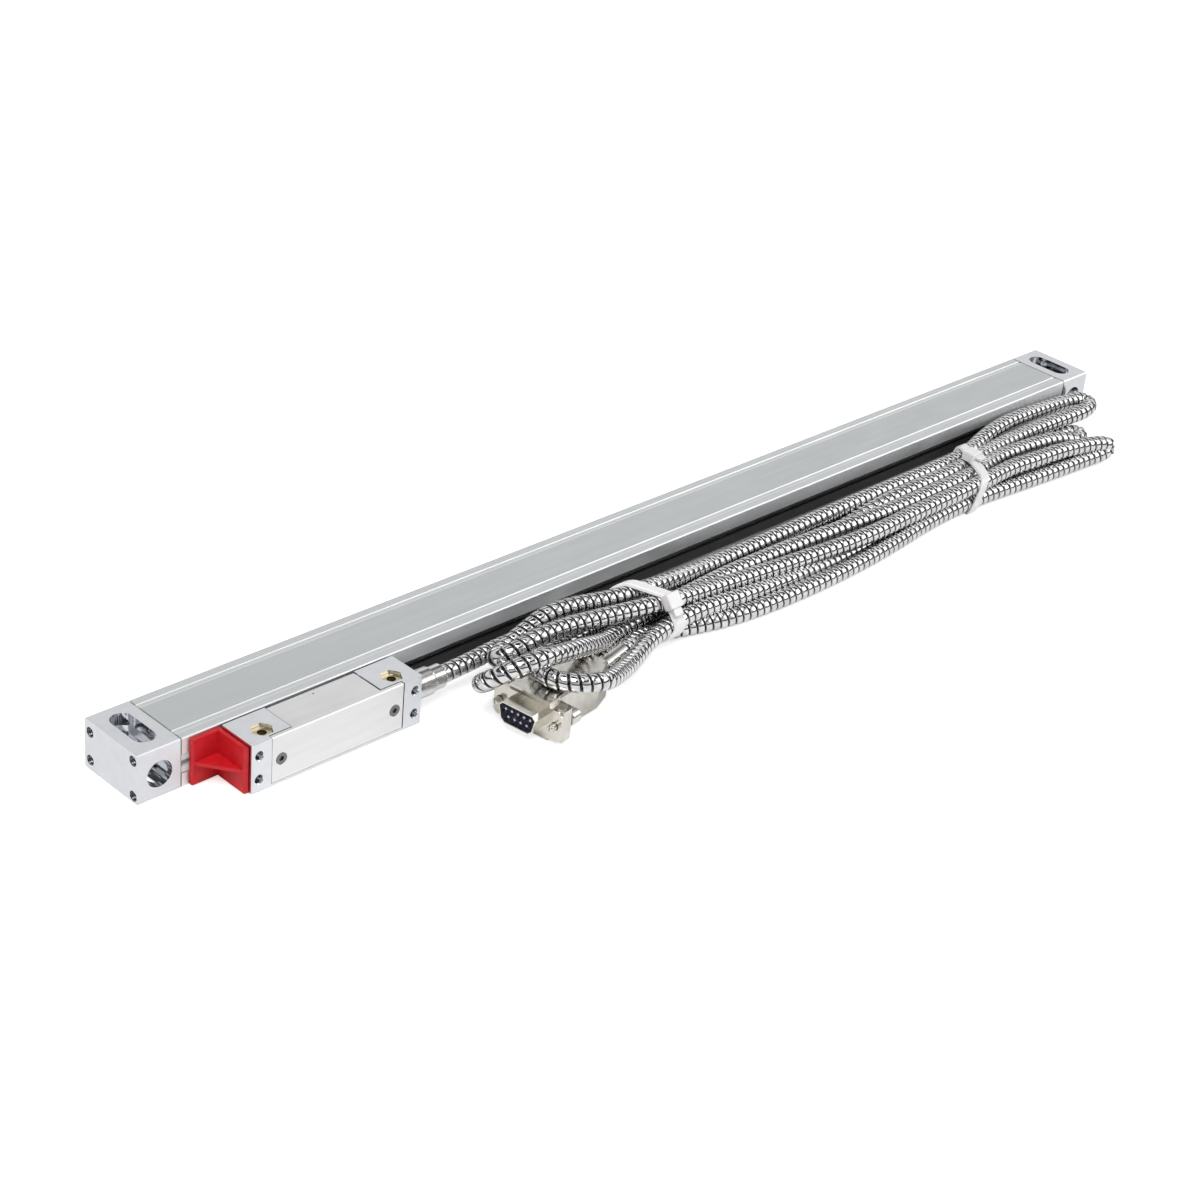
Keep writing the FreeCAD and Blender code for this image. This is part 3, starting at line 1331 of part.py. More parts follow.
def cord_tube(name, points):
    """A round tube on straight runs joined by tangent arcs."""
    edges = []
    start = points[0]
    for index in range(1, len(points) - 1):
        corner = points[index]
        incoming = corner - points[index - 1]
        outgoing = points[index + 1] - corner
        turn = incoming.getAngle(outgoing)
        reach = 0.45 * min(incoming.Length, outgoing.Length)
        radius = reach / math.tan(turn / 2)
        before = corner - Vector(incoming).normalize() * reach
        after = corner + Vector(outgoing).normalize() * reach
        inward = (before + after) * 0.5 - corner
        depth = radius / math.cos(turn / 2) - radius
        summit = corner + Vector(inward).normalize() * depth
        edges.append(Part.LineSegment(start, before).toShape())
        edges.append(Part.Arc(before, summit, after).toShape())
        start = after
        print("%s bend %d: radius %.0f mm" % (name, index, radius))
    edges.append(Part.LineSegment(start, points[-1]).toShape())
    path = Part.Wire(edges)
    direction = points[1] - points[0]
    ring = Part.Wire([Part.makeCircle(hose_radius.number, points[0], direction)])
    tube = path.makePipeShell([ring], True, False)
    section = math.pi * hose_radius.number ** 2
    print("%s length %.1f mm, volume ratio %.4f" % (name, path.Length, tube.Volume / (section * path.Length)))
    item = doc.addObject("Part::Feature", name)
    item.Label = name
    item.Shape = tube
    nodes.append(item)


# Where the lead and the tail run into the hank
LEAD_END_X = -78.0
LEAD_CLEAR_Y = -29.4
TAIL_LENGTH = 9.0
# Space kept free of the hank: length, width and top for the lead, then for the plug
LEAD_ROOM = (120.0, 40.0, 50.0)
PLUG_ROOM = (110.0, 68.0, 16.6)
PLUG_ROOM_FRONT = 44.0
ROOM_DEPTH = 10.0


def gland_mouth():
    x = head_right + gland_collar_length + gland_sleeve_length
    return Vector(x.number, gland_y.number, head_middle.number)


def cord_lead():
    mouth = gland_mouth()
    cord_tube("cord_lead", [mouth, mouth + Vector(14, 0, 0), mouth + Vector(28, -0.4, -0.8),
                            mouth + Vector(45, -0.9, -2.4), Vector(LEAD_END_X, mouth.y - 1.2, mouth.z - 4.2)])


def cord_tail():
    place_ = ferrule_placement()
    start = ferrule_length.number
    points = [(start, 0, 0), (start + TAIL_LENGTH / 2, 0, 0), (start + TAIL_LENGTH, 0.4, -0.3)]
    cord_tube("cord_tail", [place_.multVec(Vector(*point)) for point in points])


# Outer shape of the hank: place along X, front and back edge in Y, lowest and highest Z
HANK_SECTIONS = (
    (-135.0, -46.0, -32.0, 3.0, 15.0),
    (-124.0, -70.0, -26.0, 0.2, 25.0),
    (-104.0, -79.0, -23.5, 0.2, 26.0),
    (-80.0, -68.0, -21.5, 0.2, 23.0),
    (-56.0, -52.5, -23.5, 1.9, 18.5),
    (-45.0, -52.5, -23.5, 1.9, 18.5),
    (-22.0, -57.0, -22.5, 0.2, 17.5),
    (30.0, -60.0, -20.5, 0.2, 16.5),
    (85.0, -58.5, -20.5, 0.2, 16.5),
    (120.0, -55.0, -22.5, 0.2, 17.5),
    (140.0, -53.0, -24.5, 1.9, 18.5),
    (151.0, -53.0, -24.5, 1.9, 18.5),
    (178.0, -60.0, -20.0, 0.2, 22.5),
    (215.0, -63.5, -21.0, 0.2, 22.0),
    (238.0, -63.0, -26.0, 0.4, 20.0),
    (251.0, -46.0, -30.0, 5.0, 18.0),
)
TURN_SECTION = FreeCAD.Rotation(Vector(1, 1, 1), 120)


def hank_section(index, section, grow=0.0):
    """An ellipse across X that fills one section's bounds."""
    x, low_y, high_y, low_z, high_z = section
    item = doc.addObject("Part::Ellipse", "hank_section_%d" % index)
    item.MajorRadius = (high_y - low_y) / 2 + grow
    item.MinorRadius = (high_z - low_z) / 2 + grow
    item.Placement = FreeCAD.Placement(Vector(x, (low_y + high_y) / 2, (low_z + high_z) / 2), TURN_SECTION)
    return item


def cord_hank():
    """The tied hank as one solid, cut away where the plug and the two free ends lie."""
    loft = doc.addObject("Part::Loft", "hank_loft")
    loft.Sections = [hank_section(index, section) for index, section in enumerate(HANK_SECTIONS)]
    loft.Solid = True
    loft.Ruled = True
    length, width, height = LEAD_ROOM
    lead_room = box("lead_room", length, width, height)
    lead_room.Placement.Base = Vector(LEAD_END_X - length, LEAD_CLEAR_Y, -ROOM_DEPTH)
    length, width, height = PLUG_ROOM
    plug_room = box("plug_room", length, width, height + ROOM_DEPTH)
    nose = ferrule_placement()
    corner = nose.multVec(Vector(ferrule_length.number + TAIL_LENGTH - length, -PLUG_ROOM_FRONT, 0))
    plug_room.Placement = FreeCAD.Placement(Vector(corner.x, corner.y, -ROOM_DEPTH), nose.Rotation)
    rooms = joined("hank_rooms", "MultiFuse", [lead_room, plug_room])
    hank = joined("cord_hank", "Cut", [loft, rooms])
    hank.Label = "cord_hank"
    nodes.append(hank)


def cable_tie(name, first, second, head_angle):
    """A flat band round the hank between two like sections, with its square head at an angle above -Y."""
    _, low_y, high_y, low_z, high_z = first
    middle = Vector((first[0] + second[0]) / 2, (low_y + high_y) / 2, (low_z + high_z) / 2)
    reach = (high_y - low_y) / 2 + tie_gap.number
    rise = (high_z - low_z) / 2 + tie_gap.number
    width = tie_width.number
    thick = tie_thickness.number

    def filled(grow):
        """A slice as wide as the band that fills its inner or outer face."""
        curve = Part.Ellipse(Vector(), reach + grow, rise + grow)
        slice_ = Part.Face(Part.Wire([curve.toShape()])).extrude(Vector(0, 0, width))
        slice_.Placement = FreeCAD.Placement(middle - Vector(width / 2, 0, 0), TURN_SECTION)
        return slice_

    side = tie_head_side.number
    angle = math.radians(head_angle)
    seat = middle + Vector(0, -(reach + thick) * math.cos(angle), (rise + thick) * math.sin(angle))
    head = Part.makeBox(side, side, side * 0.75, Vector(-side / 2, -side / 2, -thick))
    head.Placement = FreeCAD.Placement(seat, FreeCAD.Rotation(Vector(1, 0, 0), 90 - head_angle))
    item = doc.addObject("Part::Feature", name)
    item.Label = name
    item.Shape = filled(thick).fuse(head).cut(filled(0)).removeSplitter()
    nodes.append(item)


housing_profile()
sealing_lip("upper_lip", upper_jamb, 1)
sealing_lip("lower_lip", lower_jamb, -1)
lip_insert("lip_insert_left", -1)
lip_insert("lip_insert_right", 1)
glass_scale()
scale_retainer()
end_gasket("end_gasket_left", -1)
end_gasket("end_gasket_right", 1)
end_cap("end_cap_left", -1)
end_cap("end_cap_right", 1)
end_cap_screws()
head_block()
head_cover()
cover_gasket()
cover_screws()
clamp_nuts()
interface_board()
coupling_blade()
signal_ribbon()
carriage_frame()
rollers()
roller_pins()
preload_spring()
detector_parts()
lamp_parts()
gland()
transport_bracket()
plug_shell()
plug_insulator()
contact_pins()
hood_half("hood_lower", False)
hood_half("hood_upper", True)
jackscrew("jackscrew_left", 1)
jackscrew("jackscrew_right", -1)
hood_ferrule()
cord_lead()
cord_tail()
cord_hank()
cable_tie("cable_tie_near", HANK_SECTIONS[4], HANK_SECTIONS[5], 52)
cable_tie("cable_tie_far", HANK_SECTIONS[10], HANK_SECTIONS[11], 100)

doc.recompute()
for item in doc.Objects:
    if "Invalid" in item.State or "Error" in item.State:
        raise RuntimeError("%s: %s" % (item.Label, item.State))
for item in nodes:
    if item.Shape.isNull() or not item.Shape.isValid():
        raise RuntimeError("%s has no valid shape" % item.Label)

os.makedirs("parts", exist_ok=True)
for item in nodes:
    item.Shape.exportStep("parts/%s.step" % item.Label)
    print("%s: %d solid(s), %.1f mm3" % (item.Label, len(item.Shape.Solids), item.Shape.Volume))
print("%d nodes" % len(nodes))
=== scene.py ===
import json
import math

import bmesh
import bpy
import numpy as np
from mathutils import Matrix, Vector

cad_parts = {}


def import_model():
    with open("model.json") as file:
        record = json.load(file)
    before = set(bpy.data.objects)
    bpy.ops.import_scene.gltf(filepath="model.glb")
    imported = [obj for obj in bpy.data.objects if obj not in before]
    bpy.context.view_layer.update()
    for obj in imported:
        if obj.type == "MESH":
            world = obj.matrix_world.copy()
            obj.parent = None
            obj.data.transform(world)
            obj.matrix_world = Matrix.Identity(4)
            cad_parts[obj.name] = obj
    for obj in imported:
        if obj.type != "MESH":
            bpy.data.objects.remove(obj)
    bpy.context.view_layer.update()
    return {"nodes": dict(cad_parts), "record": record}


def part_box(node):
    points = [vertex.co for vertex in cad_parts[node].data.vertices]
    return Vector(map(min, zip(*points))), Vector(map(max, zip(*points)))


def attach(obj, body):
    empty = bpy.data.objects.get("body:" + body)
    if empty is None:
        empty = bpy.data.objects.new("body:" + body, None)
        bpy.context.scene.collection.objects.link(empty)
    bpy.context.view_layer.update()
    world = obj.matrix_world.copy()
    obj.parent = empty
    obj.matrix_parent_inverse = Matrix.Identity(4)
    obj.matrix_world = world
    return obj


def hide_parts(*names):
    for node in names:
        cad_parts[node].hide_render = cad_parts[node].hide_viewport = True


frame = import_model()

# Looks of a linear glass scale. Lengths in the lists below are millimetres, and MM turns them into metres.
MM = 0.001
nodes = frame["nodes"]

# Camera, from the photograph's perspective
CAMERA_PLACE = (-675.49, -596.20, 492.30)
CAMERA_AZIMUTH = -47.151
CAMERA_ELEVATION = 29.671
CAMERA_ROLL = 5.523
CAMERA_LENS = 76.75
CAMERA_CLIP_START = 10

# Armoured cord
HOSE_RADIUS = 3.55
HOSE_PITCH = 3.5
HOSE_SIDES = 24
GLAND_MOUTH = (-139.5, -24.65, 9.85)
# One turn of the hose's profile: place along the pitch, radius, and how far it lies down in the grooves,
# which sets its share of painted shade
HOSE_PROFILE = ((0.00, 3.02, 1.0), (0.09, 3.02, 1.0), (0.11, 3.36, 0.6), (0.15, 3.49, 0.0), (0.23, 3.55, 0.0),
                (0.75, 3.55, 0.0), (0.83, 3.49, 0.0), (0.87, 3.36, 0.6), (0.89, 3.02, 1.0))

# The cord's route in order, from the gland through the tied hank to the plug's ferrule
LEAD_AND_BACK_LANE = (
    GLAND_MOUTH, (-127, -24.5, 9.9), (-113, -23.2, 10.1), (-99, -22.7, 9.8), (-82, -23.4, 7.6),
    (-66, -25.4, 4.8), (-46, -27.2, 3.8), (-5, -24.6, 3.8), (45, -23.2, 3.8), (95, -23.4, 3.8),
    (135, -25.2, 3.8))
LOW_RIGHT_LOOP = (
    (165, -26.2, 3.8), (195, -27.4, 3.8), (220, -29, 3.8), (234, -31, 4), (236, -36.4, 4.2),
    (224, -37.6, 4), (205, -36, 3.8), (180, -34, 3.8), (148, -32.6, 3.8))
LOW_FRONT_LANE = (
    (115, -33.6, 3.8), (85, -37.6, 3.8), (60, -39.2, 3.8), (25, -39.2, 3.8), (-20, -36.8, 3.8),
    (-48, -34.8, 3.8))
FRONT_LEFT_LOOP = (
    (-70, -36.4, 4.2), (-88, -40, 5.4), (-104, -43.2, 7.4), (-112, -45, 12.5), (-117, -51, 19.4),
    (-121.5, -60, 19.6), (-117, -69, 19.9), (-107, -73.2, 18.9), (-97, -70, 15.4), (-86, -64, 11.4),
    (-74, -58, 8.8), (-61, -51.6, 8.2), (-48, -48.4, 8.8))
DIPPING_LANE = (
    (-30, -47.6, 9.8), (-4, -49, 8), (20, -48.4, 6), (50, -47.3, 4), (85, -44.6, 3.8), (115, -40.4, 3.8),
    (146, -39.5, 3.8))
MIDDLE_RIGHT_LOOP = (
    (170, -40.2, 3.9), (190, -42.3, 3.9), (212, -44.8, 4.2), (225, -44, 6.5), (214, -38.8, 9.6),
    (200, -37, 10.4), (182, -35.6, 10.6), (168, -35.8, 10.7), (150, -39.8, 10.9))
UPPER_MIDDLE_LANE = (
    (125, -39.8, 10.7), (95, -39.4, 10.2), (55, -36.6, 10), (12, -35.2, 10), (-20, -36.6, 10),
    (-46, -38.2, 10))
MIDDLE_LEFT_LOOP = (
    (-62, -38.8, 8.2), (-74, -43.6, 10), (-85, -49, 15), (-97, -53.6, 20.2), (-110, -57.4, 24.6),
    (-123, -59.4, 28), (-132.5, -57.6, 27.2), (-139.5, -53.2, 23.2), (-141, -46.8, 17.6), (-134, -42, 13.2),
    (-120, -39, 9.8), (-102, -35.6, 7), (-80, -31.8, 7.8), (-62, -31, 8.6), (-46, -30.9, 9.8))
LOW_MIDDLE_LANE = (
    (-22, -31, 6), (15, -31.2, 3.8), (50, -31.2, 3.8), (76, -31.4, 5.2), (98, -32.2, 9.6), (124, -32.8, 10.8),
    (148, -32.8, 10.9))
FAR_RIGHT_LOOP = (
    (164, -30.6, 10.8), (180, -28.4, 10.6), (196, -27.4, 10.4), (214, -27.2, 10.2), (232, -28, 10.2),
    (246, -29, 10.2), (254, -26.5, 10.4), (254, -21, 11), (246, -19.3, 11.4), (232, -19.2, 12.4),
    (216, -19.3, 13.4), (200, -19.4, 13.9), (186, -20.6, 13.2), (174, -23, 12), (162, -26, 11.2),
    (146, -26.6, 10.9))
UPPER_BACK_LANE = (
    (118, -26, 10.5), (84, -25.6, 10.2), (40, -26, 10), (0, -27.2, 10.4), (-22, -30.5, 13.6),
    (-46, -33.2, 17.4))
BACK_LEFT_LOOP = (
    (-62, -32.4, 18.4), (-78, -28.6, 19.4), (-91, -27.4, 19.6), (-103, -27.4, 15), (-114, -28.4, 12.4),
    (-121, -32.8, 13.2), (-114, -36.4, 16.6), (-102, -35.8, 18.2), (-86, -36.6, 17.8), (-70, -39.6, 17.4),
    (-48, -43.2, 16.4))
UPPER_FRONT_LANE = (
    (-27, -42.4, 13.2), (2, -42.6, 10.6), (36, -46, 10.4), (70, -48.6, 10.3), (105, -46.8, 10.4),
    (146, -46.8, 10.8))
FRONT_RIGHT_LOOP = (
    (168, -44.8, 10.7), (184, -46.5, 10.6), (201, -47.8, 10.6), (215, -49.8, 10.2), (227, -52.3, 9),
    (232.5, -54.2, 6.6), (227, -53.4, 4.4), (215, -51.6, 3.8), (199, -50.8, 3.8), (182, -49.4, 3.8),
    (165, -48, 3.8), (146, -46.3, 3.8))
FRONT_LANE_AND_TAIL = (
    (115, -47.2, 3.8), (85, -51.4, 3.8), (60, -54, 3.8), (27, -55.2, 3.8), (-9, -53.8, 3.8),
    (-32, -48.4, 3.8), (-48, -43, 3.9), (-58, -44.6, 6.2), (-66.5, -48.6, 7.9), (-72.5, -50.1, 8.0))
ROUTE = (LEAD_AND_BACK_LANE + LOW_RIGHT_LOOP + LOW_FRONT_LANE + FRONT_LEFT_LOOP + DIPPING_LANE
         + MIDDLE_RIGHT_LOOP + UPPER_MIDDLE_LANE + MIDDLE_LEFT_LOOP + LOW_MIDDLE_LANE + FAR_RIGHT_LOOP
         + UPPER_BACK_LANE + BACK_LEFT_LOOP + UPPER_FRONT_LANE + FRONT_RIGHT_LOOP + FRONT_LANE_AND_TAIL)

# The cord's line: order and fineness of its curve, then the spacing of points along its winding, along its
# path and round a tie
LINE_ORDER = 3
LINE_FINENESS = 14
WINDING_STEP = 0.25
PATH_STEP = 2.0
BAND_STEP = 1.0
# Lengths in metres below which points and edges fall together
SAME_POINT = 1e-9
TINY_EDGE = 1e-6

# Cable ties: the band, its square head and the trimmed end of its strap
TIE_WIDTH = 4.6
TIE_THICKNESS = 1.1
TIE_SOFT = 0.3
TIE_GAP = 0.15
TIE_RIM_STEPS = 32
TIE_HEAD = (6.6, 6.2, 4.4)
TIE_HEAD_SOFT = 0.7
# Height of the head's middle above the band's inner face, as a share of the head's height
TIE_HEAD_RISE = 0.42
TIE_END_NARROWER = 0.4
TIE_END = (TIE_WIDTH - TIE_END_NARROWER, 3.4, TIE_THICKNESS)
TIE_END_SOFT = 0.25
TIE_END_RISE = 2.6
TIE_END_OUT = 4.4
# For each tie: name, the node that it stands for, place along X, lean of the band with Y and with Z, and
# where its head sits across the hank
TIES = (("tie_near", "cable_tie_near", -55.5, (-0.75, 0.6), (-46.5, 18.0)),
        ("tie_far", "cable_tie_far", 150.0, (0.6, 0.5), (-34.0, 14.6)))
TIE_MIDDLE = (-38.0, 9.5)

# The plug's place, and the ears of its hood: half their height, their span sideways from the plug's middle
# and behind the flange, and how far the cut goes past them
PLUG_PLACE = (-129.4, -59.9, 8.0)
PLUG_YAW = 7.5
EAR_RISE = 6.25
EAR_INNER = 9.15
EAR_OUTER = 16.5
EAR_START = -1.0
EAR_END = 7.0
EAR_TRIM = 3.0
# The recess in the top of each ear
RECESS_START = 2.0
RECESS_END = 5.6
RECESS_INNER = 10.6
RECESS_OUTER = 14.0
RECESS_DEPTH = 1.6
RECESS_OVER = 1.0
HOOD_WELD = 0.002

# Rounding of sharp edges, in millimetres and degrees
SOFT_EDGE = 0.25
SOFT_WELD = 0.005
SOFT_ANGLE = 35
SOFT_SEGMENTS = 2

# The tiny hole in the head cover's top, drawn as a disc of painted shade
PIN_HOLE = (-193.6, -19.2)
PIN_RADIUS = 0.32
PIN_THICKNESS = 0.04
PIN_SIDES = 20

# Noise for the finishes: its roughness, the span that holds nearly all of it, and its scale per metre for
# even, fine and lengthwise grain and for patches in the gloss
NOISE_ROUGHNESS = 0.55
NOISE_SPAN = (0.3, 0.7)
EVEN = (900, 900, 900)
FINE = (2600, 2600, 2600)
ALONG = (12, 1400, 1400)
PATCHES = (90, 90, 90)
PATCH_DETAIL = 3.0
# Roughness of the glossier and of the duller patches, as a share of the finish's own
GLOSSIER = 0.82
DULLER = 1.2

# Plain finishes: colour, metallic, roughness, grain along X, Y and Z, unevenness of the colour, and the
# bump's strength and depth
FINISHES = {
    "lip": ((0.022, 0.022, 0.024), 0.0, 0.62, (60, 1800, 1800), 0.2, 0.3, 0.05),
    "lip_insert": ((0.66, 0.67, 0.66), 0.0, 0.42, EVEN, 0.04, 0.12, 0.03),
    "retainer": ((0.80, 0.80, 0.76), 0.0, 0.5, EVEN, 0.04, 0.2, 0.05),
    "gasket": ((0.16, 0.16, 0.16), 0.0, 0.7, FINE, 0.2, 0.3, 0.04),
    "end_cap": ((0.70, 0.715, 0.74), 1.0, 0.10, (260, 260, 260), 0.03, 0.02, 0.03),
    # The screws' dark grey is darker than their steel, painting the shade in their recesses in the end caps
    "screw": ((0.20, 0.20, 0.21), 1.0, 0.3, FINE, 0.1, 0.1, 0.02),
    "head": ((0.73, 0.745, 0.77), 1.0, 0.11, (240, 240, 240), 0.03, 0.02, 0.03),
    "head_cover": ((0.77, 0.768, 0.765), 1.0, 0.14, (30, 420, 420), 0.03, 0.06, 0.06),
    "nut": ((0.70, 0.60, 0.38), 1.0, 0.26, FINE, 0.08, 0.12, 0.02),
    "spring_steel": ((0.55, 0.56, 0.58), 1.0, 0.24, ALONG, 0.06, 0.1, 0.02),
    "carriage": ((0.34, 0.35, 0.37), 0.9, 0.38, ALONG, 0.06, 0.15, 0.03),
    "roller": ((0.78, 0.78, 0.79), 1.0, 0.12, FINE, 0.03, 0.05, 0.01),
    "lamp": ((0.05, 0.05, 0.055), 0.0, 0.36, EVEN, 0.1, 0.15, 0.03),
    "gland": ((0.74, 0.74, 0.74), 1.0, 0.2, (1200, 90, 90), 0.05, 0.1, 0.03),
    "bracket": ((0.55, 0.010, 0.016), 0.0, 0.42, (420, 420, 420), 0.12, 0.15, 0.05),
    "plug_shell": ((0.72, 0.69, 0.62), 1.0, 0.2, EVEN, 0.05, 0.12, 0.02),
    "insulator": ((0.022, 0.028, 0.10), 0.0, 0.4, EVEN, 0.12, 0.15, 0.03),
    "contact": ((0.50, 0.49, 0.50), 1.0, 0.3, FINE, 0.04, 0.05, 0.01),
    "hood": ((0.68, 0.66, 0.61), 1.0, 0.24, (420, 420, 420), 0.1, 0.2, 0.05),
    "jackscrew": ((0.70, 0.68, 0.63), 1.0, 0.24, FINE, 0.06, 0.1, 0.02),
    "ferrule": ((0.76, 0.75, 0.71), 1.0, 0.17, (1200, 120, 120), 0.05, 0.1, 0.02),
    "tie": ((0.80, 0.795, 0.79), 0.0, 0.34, EVEN, 0.03, 0.15, 0.03),
}
# Finishes with fine parallel bands across X, as on a ruled grating or a printed lead: the two colours and
# the bands' scale
BANDED_FINISHES = {
    "scale_glass": ((0.80, 0.90, 0.86), (0.66, 0.78, 0.74), 400.0),
    "ribbon": ((0.62, 0.34, 0.06), (0.42, 0.20, 0.03), 900.0),
}
BANDED_ROUGHNESS = (0.1, 0.25)
# What glass, moulded plastic and translucent nylon have besides
EXTRA_SOCKETS = {
    "scale_glass": {"Transmission Weight": 0.75, "IOR": 1.5},
    "bracket": {"Specular IOR Level": 0.35},
    "tie": {"Subsurface Weight": 0.2, "Subsurface Scale": 0.002, "Coat Weight": 0.15},
}

# The cord's wound strip: bright and tarnished, and the near-black painted shade in its grooves
HOSE_BRIGHT = (0.80, 0.80, 0.81)
HOSE_TARNISHED = (0.58, 0.57, 0.56)
HOSE_GROOVE_SHADE = (0.03, 0.03, 0.032)
HOSE_ROUGHNESS = (0.05, 0.13)
HOSE_BUMP = (0.12, 0.02)
TARNISH = (320, 320, 320)
TARNISH_SPAN = (0.35, 0.7)

# The circuit board's solder mask over its tracks
BOARD_COLOURS = {"Color1": (0.02, 0.16, 0.07), "Color2": (0.03, 0.22, 0.09), "Mortar": (0.10, 0.34, 0.14)}
BOARD_SCALE = 260.0
BOARD_ROUGHNESS = (0.22, 0.4)
BOARD_BUMP = (0.3, 0.03)

# The housing: drawing lines and patches in the gloss, darker and lighter shades of its plain face and of the
# strip between the top grooves, and where along Y that strip fades out
HOUSING_LINES = (5, 2200, 2200)
HOUSING_LINE_DETAIL = 5.0
HOUSING_PATCHES = (40, 160, 160)
HOUSING_PLAIN = ((0.79, 0.81, 0.81), (0.87, 0.89, 0.89))
HOUSING_STRIP = ((0.70, 0.735, 0.73), (0.78, 0.81, 0.805))
HOUSING_METALLIC = 0.9
HOUSING_ROUGHNESS = (0.34, 0.46)
HOUSING_BUMP = (0.16, 0.03)
STRIP_FADE = (8.8, 9.2)
# Depths below the top face over which its own shades and the painted groove highlights fade in
TOP_FADE = (0.5, 0.3)
# Painted highlights along the edges of the top grooves on the camera's side: where each starts and ends along
# Y
GROOVE_HIGHLIGHTS = ((-15.0, 0.0), (-11.7, 1.0), (-11.2, 0.0), (8.5, 1.0), (9.0, 0.0))

# Studio: brightness by the sine of the height above the horizon, and the side that is kept dim, with the
# cosines from its middle where the dimming starts and where it is full
WHITE = (1.0, 1.0, 1.0)
SKY_BANDS = ((0.0, 0.06), (0.20, 0.06), (0.28, 0.86), (0.58, 0.86), (0.65, 0.05), (0.79, 0.05), (0.83, 1.0),
             (0.92, 1.0), (0.95, 0.06), (1.0, 0.06))
SKY_BLUE = 1.01
SKY_LIGHT = (0.5, 0.5, 0.505)
DIM_SIDE = (-0.62, -0.62, 0.48)
DIM_START = 0.6
DIM_FULL = 0.9
DIM_SHARE = 0.45
DIM_COLOUR = (0.05, 0.05, 0.055)
# Floor: half its width in metres, its depth below the object in millimetres, and its glow on the object and
# in the picture
FLOOR_REACH = 8.0
FLOOR_DROP = 0.2
FLOOR_COLOUR = (0.93, 0.93, 0.93)
FLOOR_ROUGHNESS = 0.9
FLOOR_GLOW = (0.02, 0.6)
# Lamps: name, place and width in metres, and power in watts
LAMPS = (("key_light", (-0.7, -0.5, 1.6), 1.1, 20.0),
         ("fill_light", (1.4, -1.2, 1.1), 1.4, 8.0))


def camera():
    """The photograph's camera: orbit angles, a small roll and the lens."""
    azimuth, elevation, roll = [math.radians(a) for a in (CAMERA_AZIMUTH, CAMERA_ELEVATION, CAMERA_ROLL)]
    back = Vector((math.sin(azimuth) * math.cos(elevation), -math.cos(azimuth) * math.cos(elevation),
                   math.sin(elevation)))
    level = Vector((math.cos(azimuth), math.sin(azimuth), 0))
    upright = back.cross(level)
    right = level * math.cos(roll) + upright * math.sin(roll)
    up = upright * math.cos(roll) - level * math.sin(roll)
    data = bpy.data.cameras.new("camera")
    data.lens = CAMERA_LENS
    data.clip_start = CAMERA_CLIP_START * MM
    item = bpy.data.objects.new("camera", data)
    bpy.context.scene.collection.objects.link(item)
    turn = Matrix((right, up, back)).transposed().to_4x4()
    item.matrix_world = Matrix.Translation(Vector(CAMERA_PLACE) * MM) @ turn
    bpy.context.scene.camera = item


def add_object(name, mesh, body, material):
    """Link a finished mesh as a piece that rides on a body."""
    item = bpy.data.objects.new(name, mesh)
    bpy.context.scene.collection.objects.link(item)
    mesh.materials.append(material)
    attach(item, body)
    return item


def smooth_line(name, points):
    """Points of one smooth NURBS line with the route's points as its control points."""
    curve = bpy.data.curves.new(name, "CURVE")
    curve.dimensions = "3D"
    curve.resolution_u = LINE_FINENESS
    spline = curve.splines.new("NURBS")
    spline.points.add(len(points) - 1)
    for control, point in zip(spline.points, points):
        control.co = (*(length * MM for length in point), 1.0)
    spline.order_u = LINE_ORDER
    spline.use_endpoint_u = True
    item = bpy.data.objects.new(name, curve)
    bpy.context.scene.collection.objects.link(item)
    line = bpy.data.meshes.new_from_object(item)
    found = np.array([vertex.co[:] for vertex in line.vertices])
    bpy.data.meshes.remove(line)
    bpy.data.objects.remove(item)
    bpy.data.curves.remove(curve)
    return found


def even_line(line, spacing):
    """The same line with points at an even spacing, and its length."""
    steps = np.linalg.norm(np.diff(line, axis=0), axis=1)
    keep = np.concatenate([[True], steps > SAME_POINT])
    line = line[keep]
    along = np.concatenate([[0.0], np.cumsum(np.linalg.norm(np.diff(line, axis=0), axis=1))])
    count = int(round(along[-1] / spacing)) + 1
    places = np.linspace(0, along[-1], count)
    return np.stack([np.interp(places, along, line[:, axis]) for axis in range(3)], axis=1), along[-1]


def carried_frames(line):
    """Two normals at each point, carried along without twist."""
    forward = np.gradient(line, axis=0)
    forward /= np.linalg.norm(forward, axis=1)[:, None]
    side = np.cross(forward[0], (0, 0, 1.0))
    sides = []
    for direction in forward:
        side = side - direction * (side @ direction)
        side = side / np.linalg.norm(side)
        sides.append(side)
    sides = np.array(sides)
    return sides, np.cross(forward, sides)


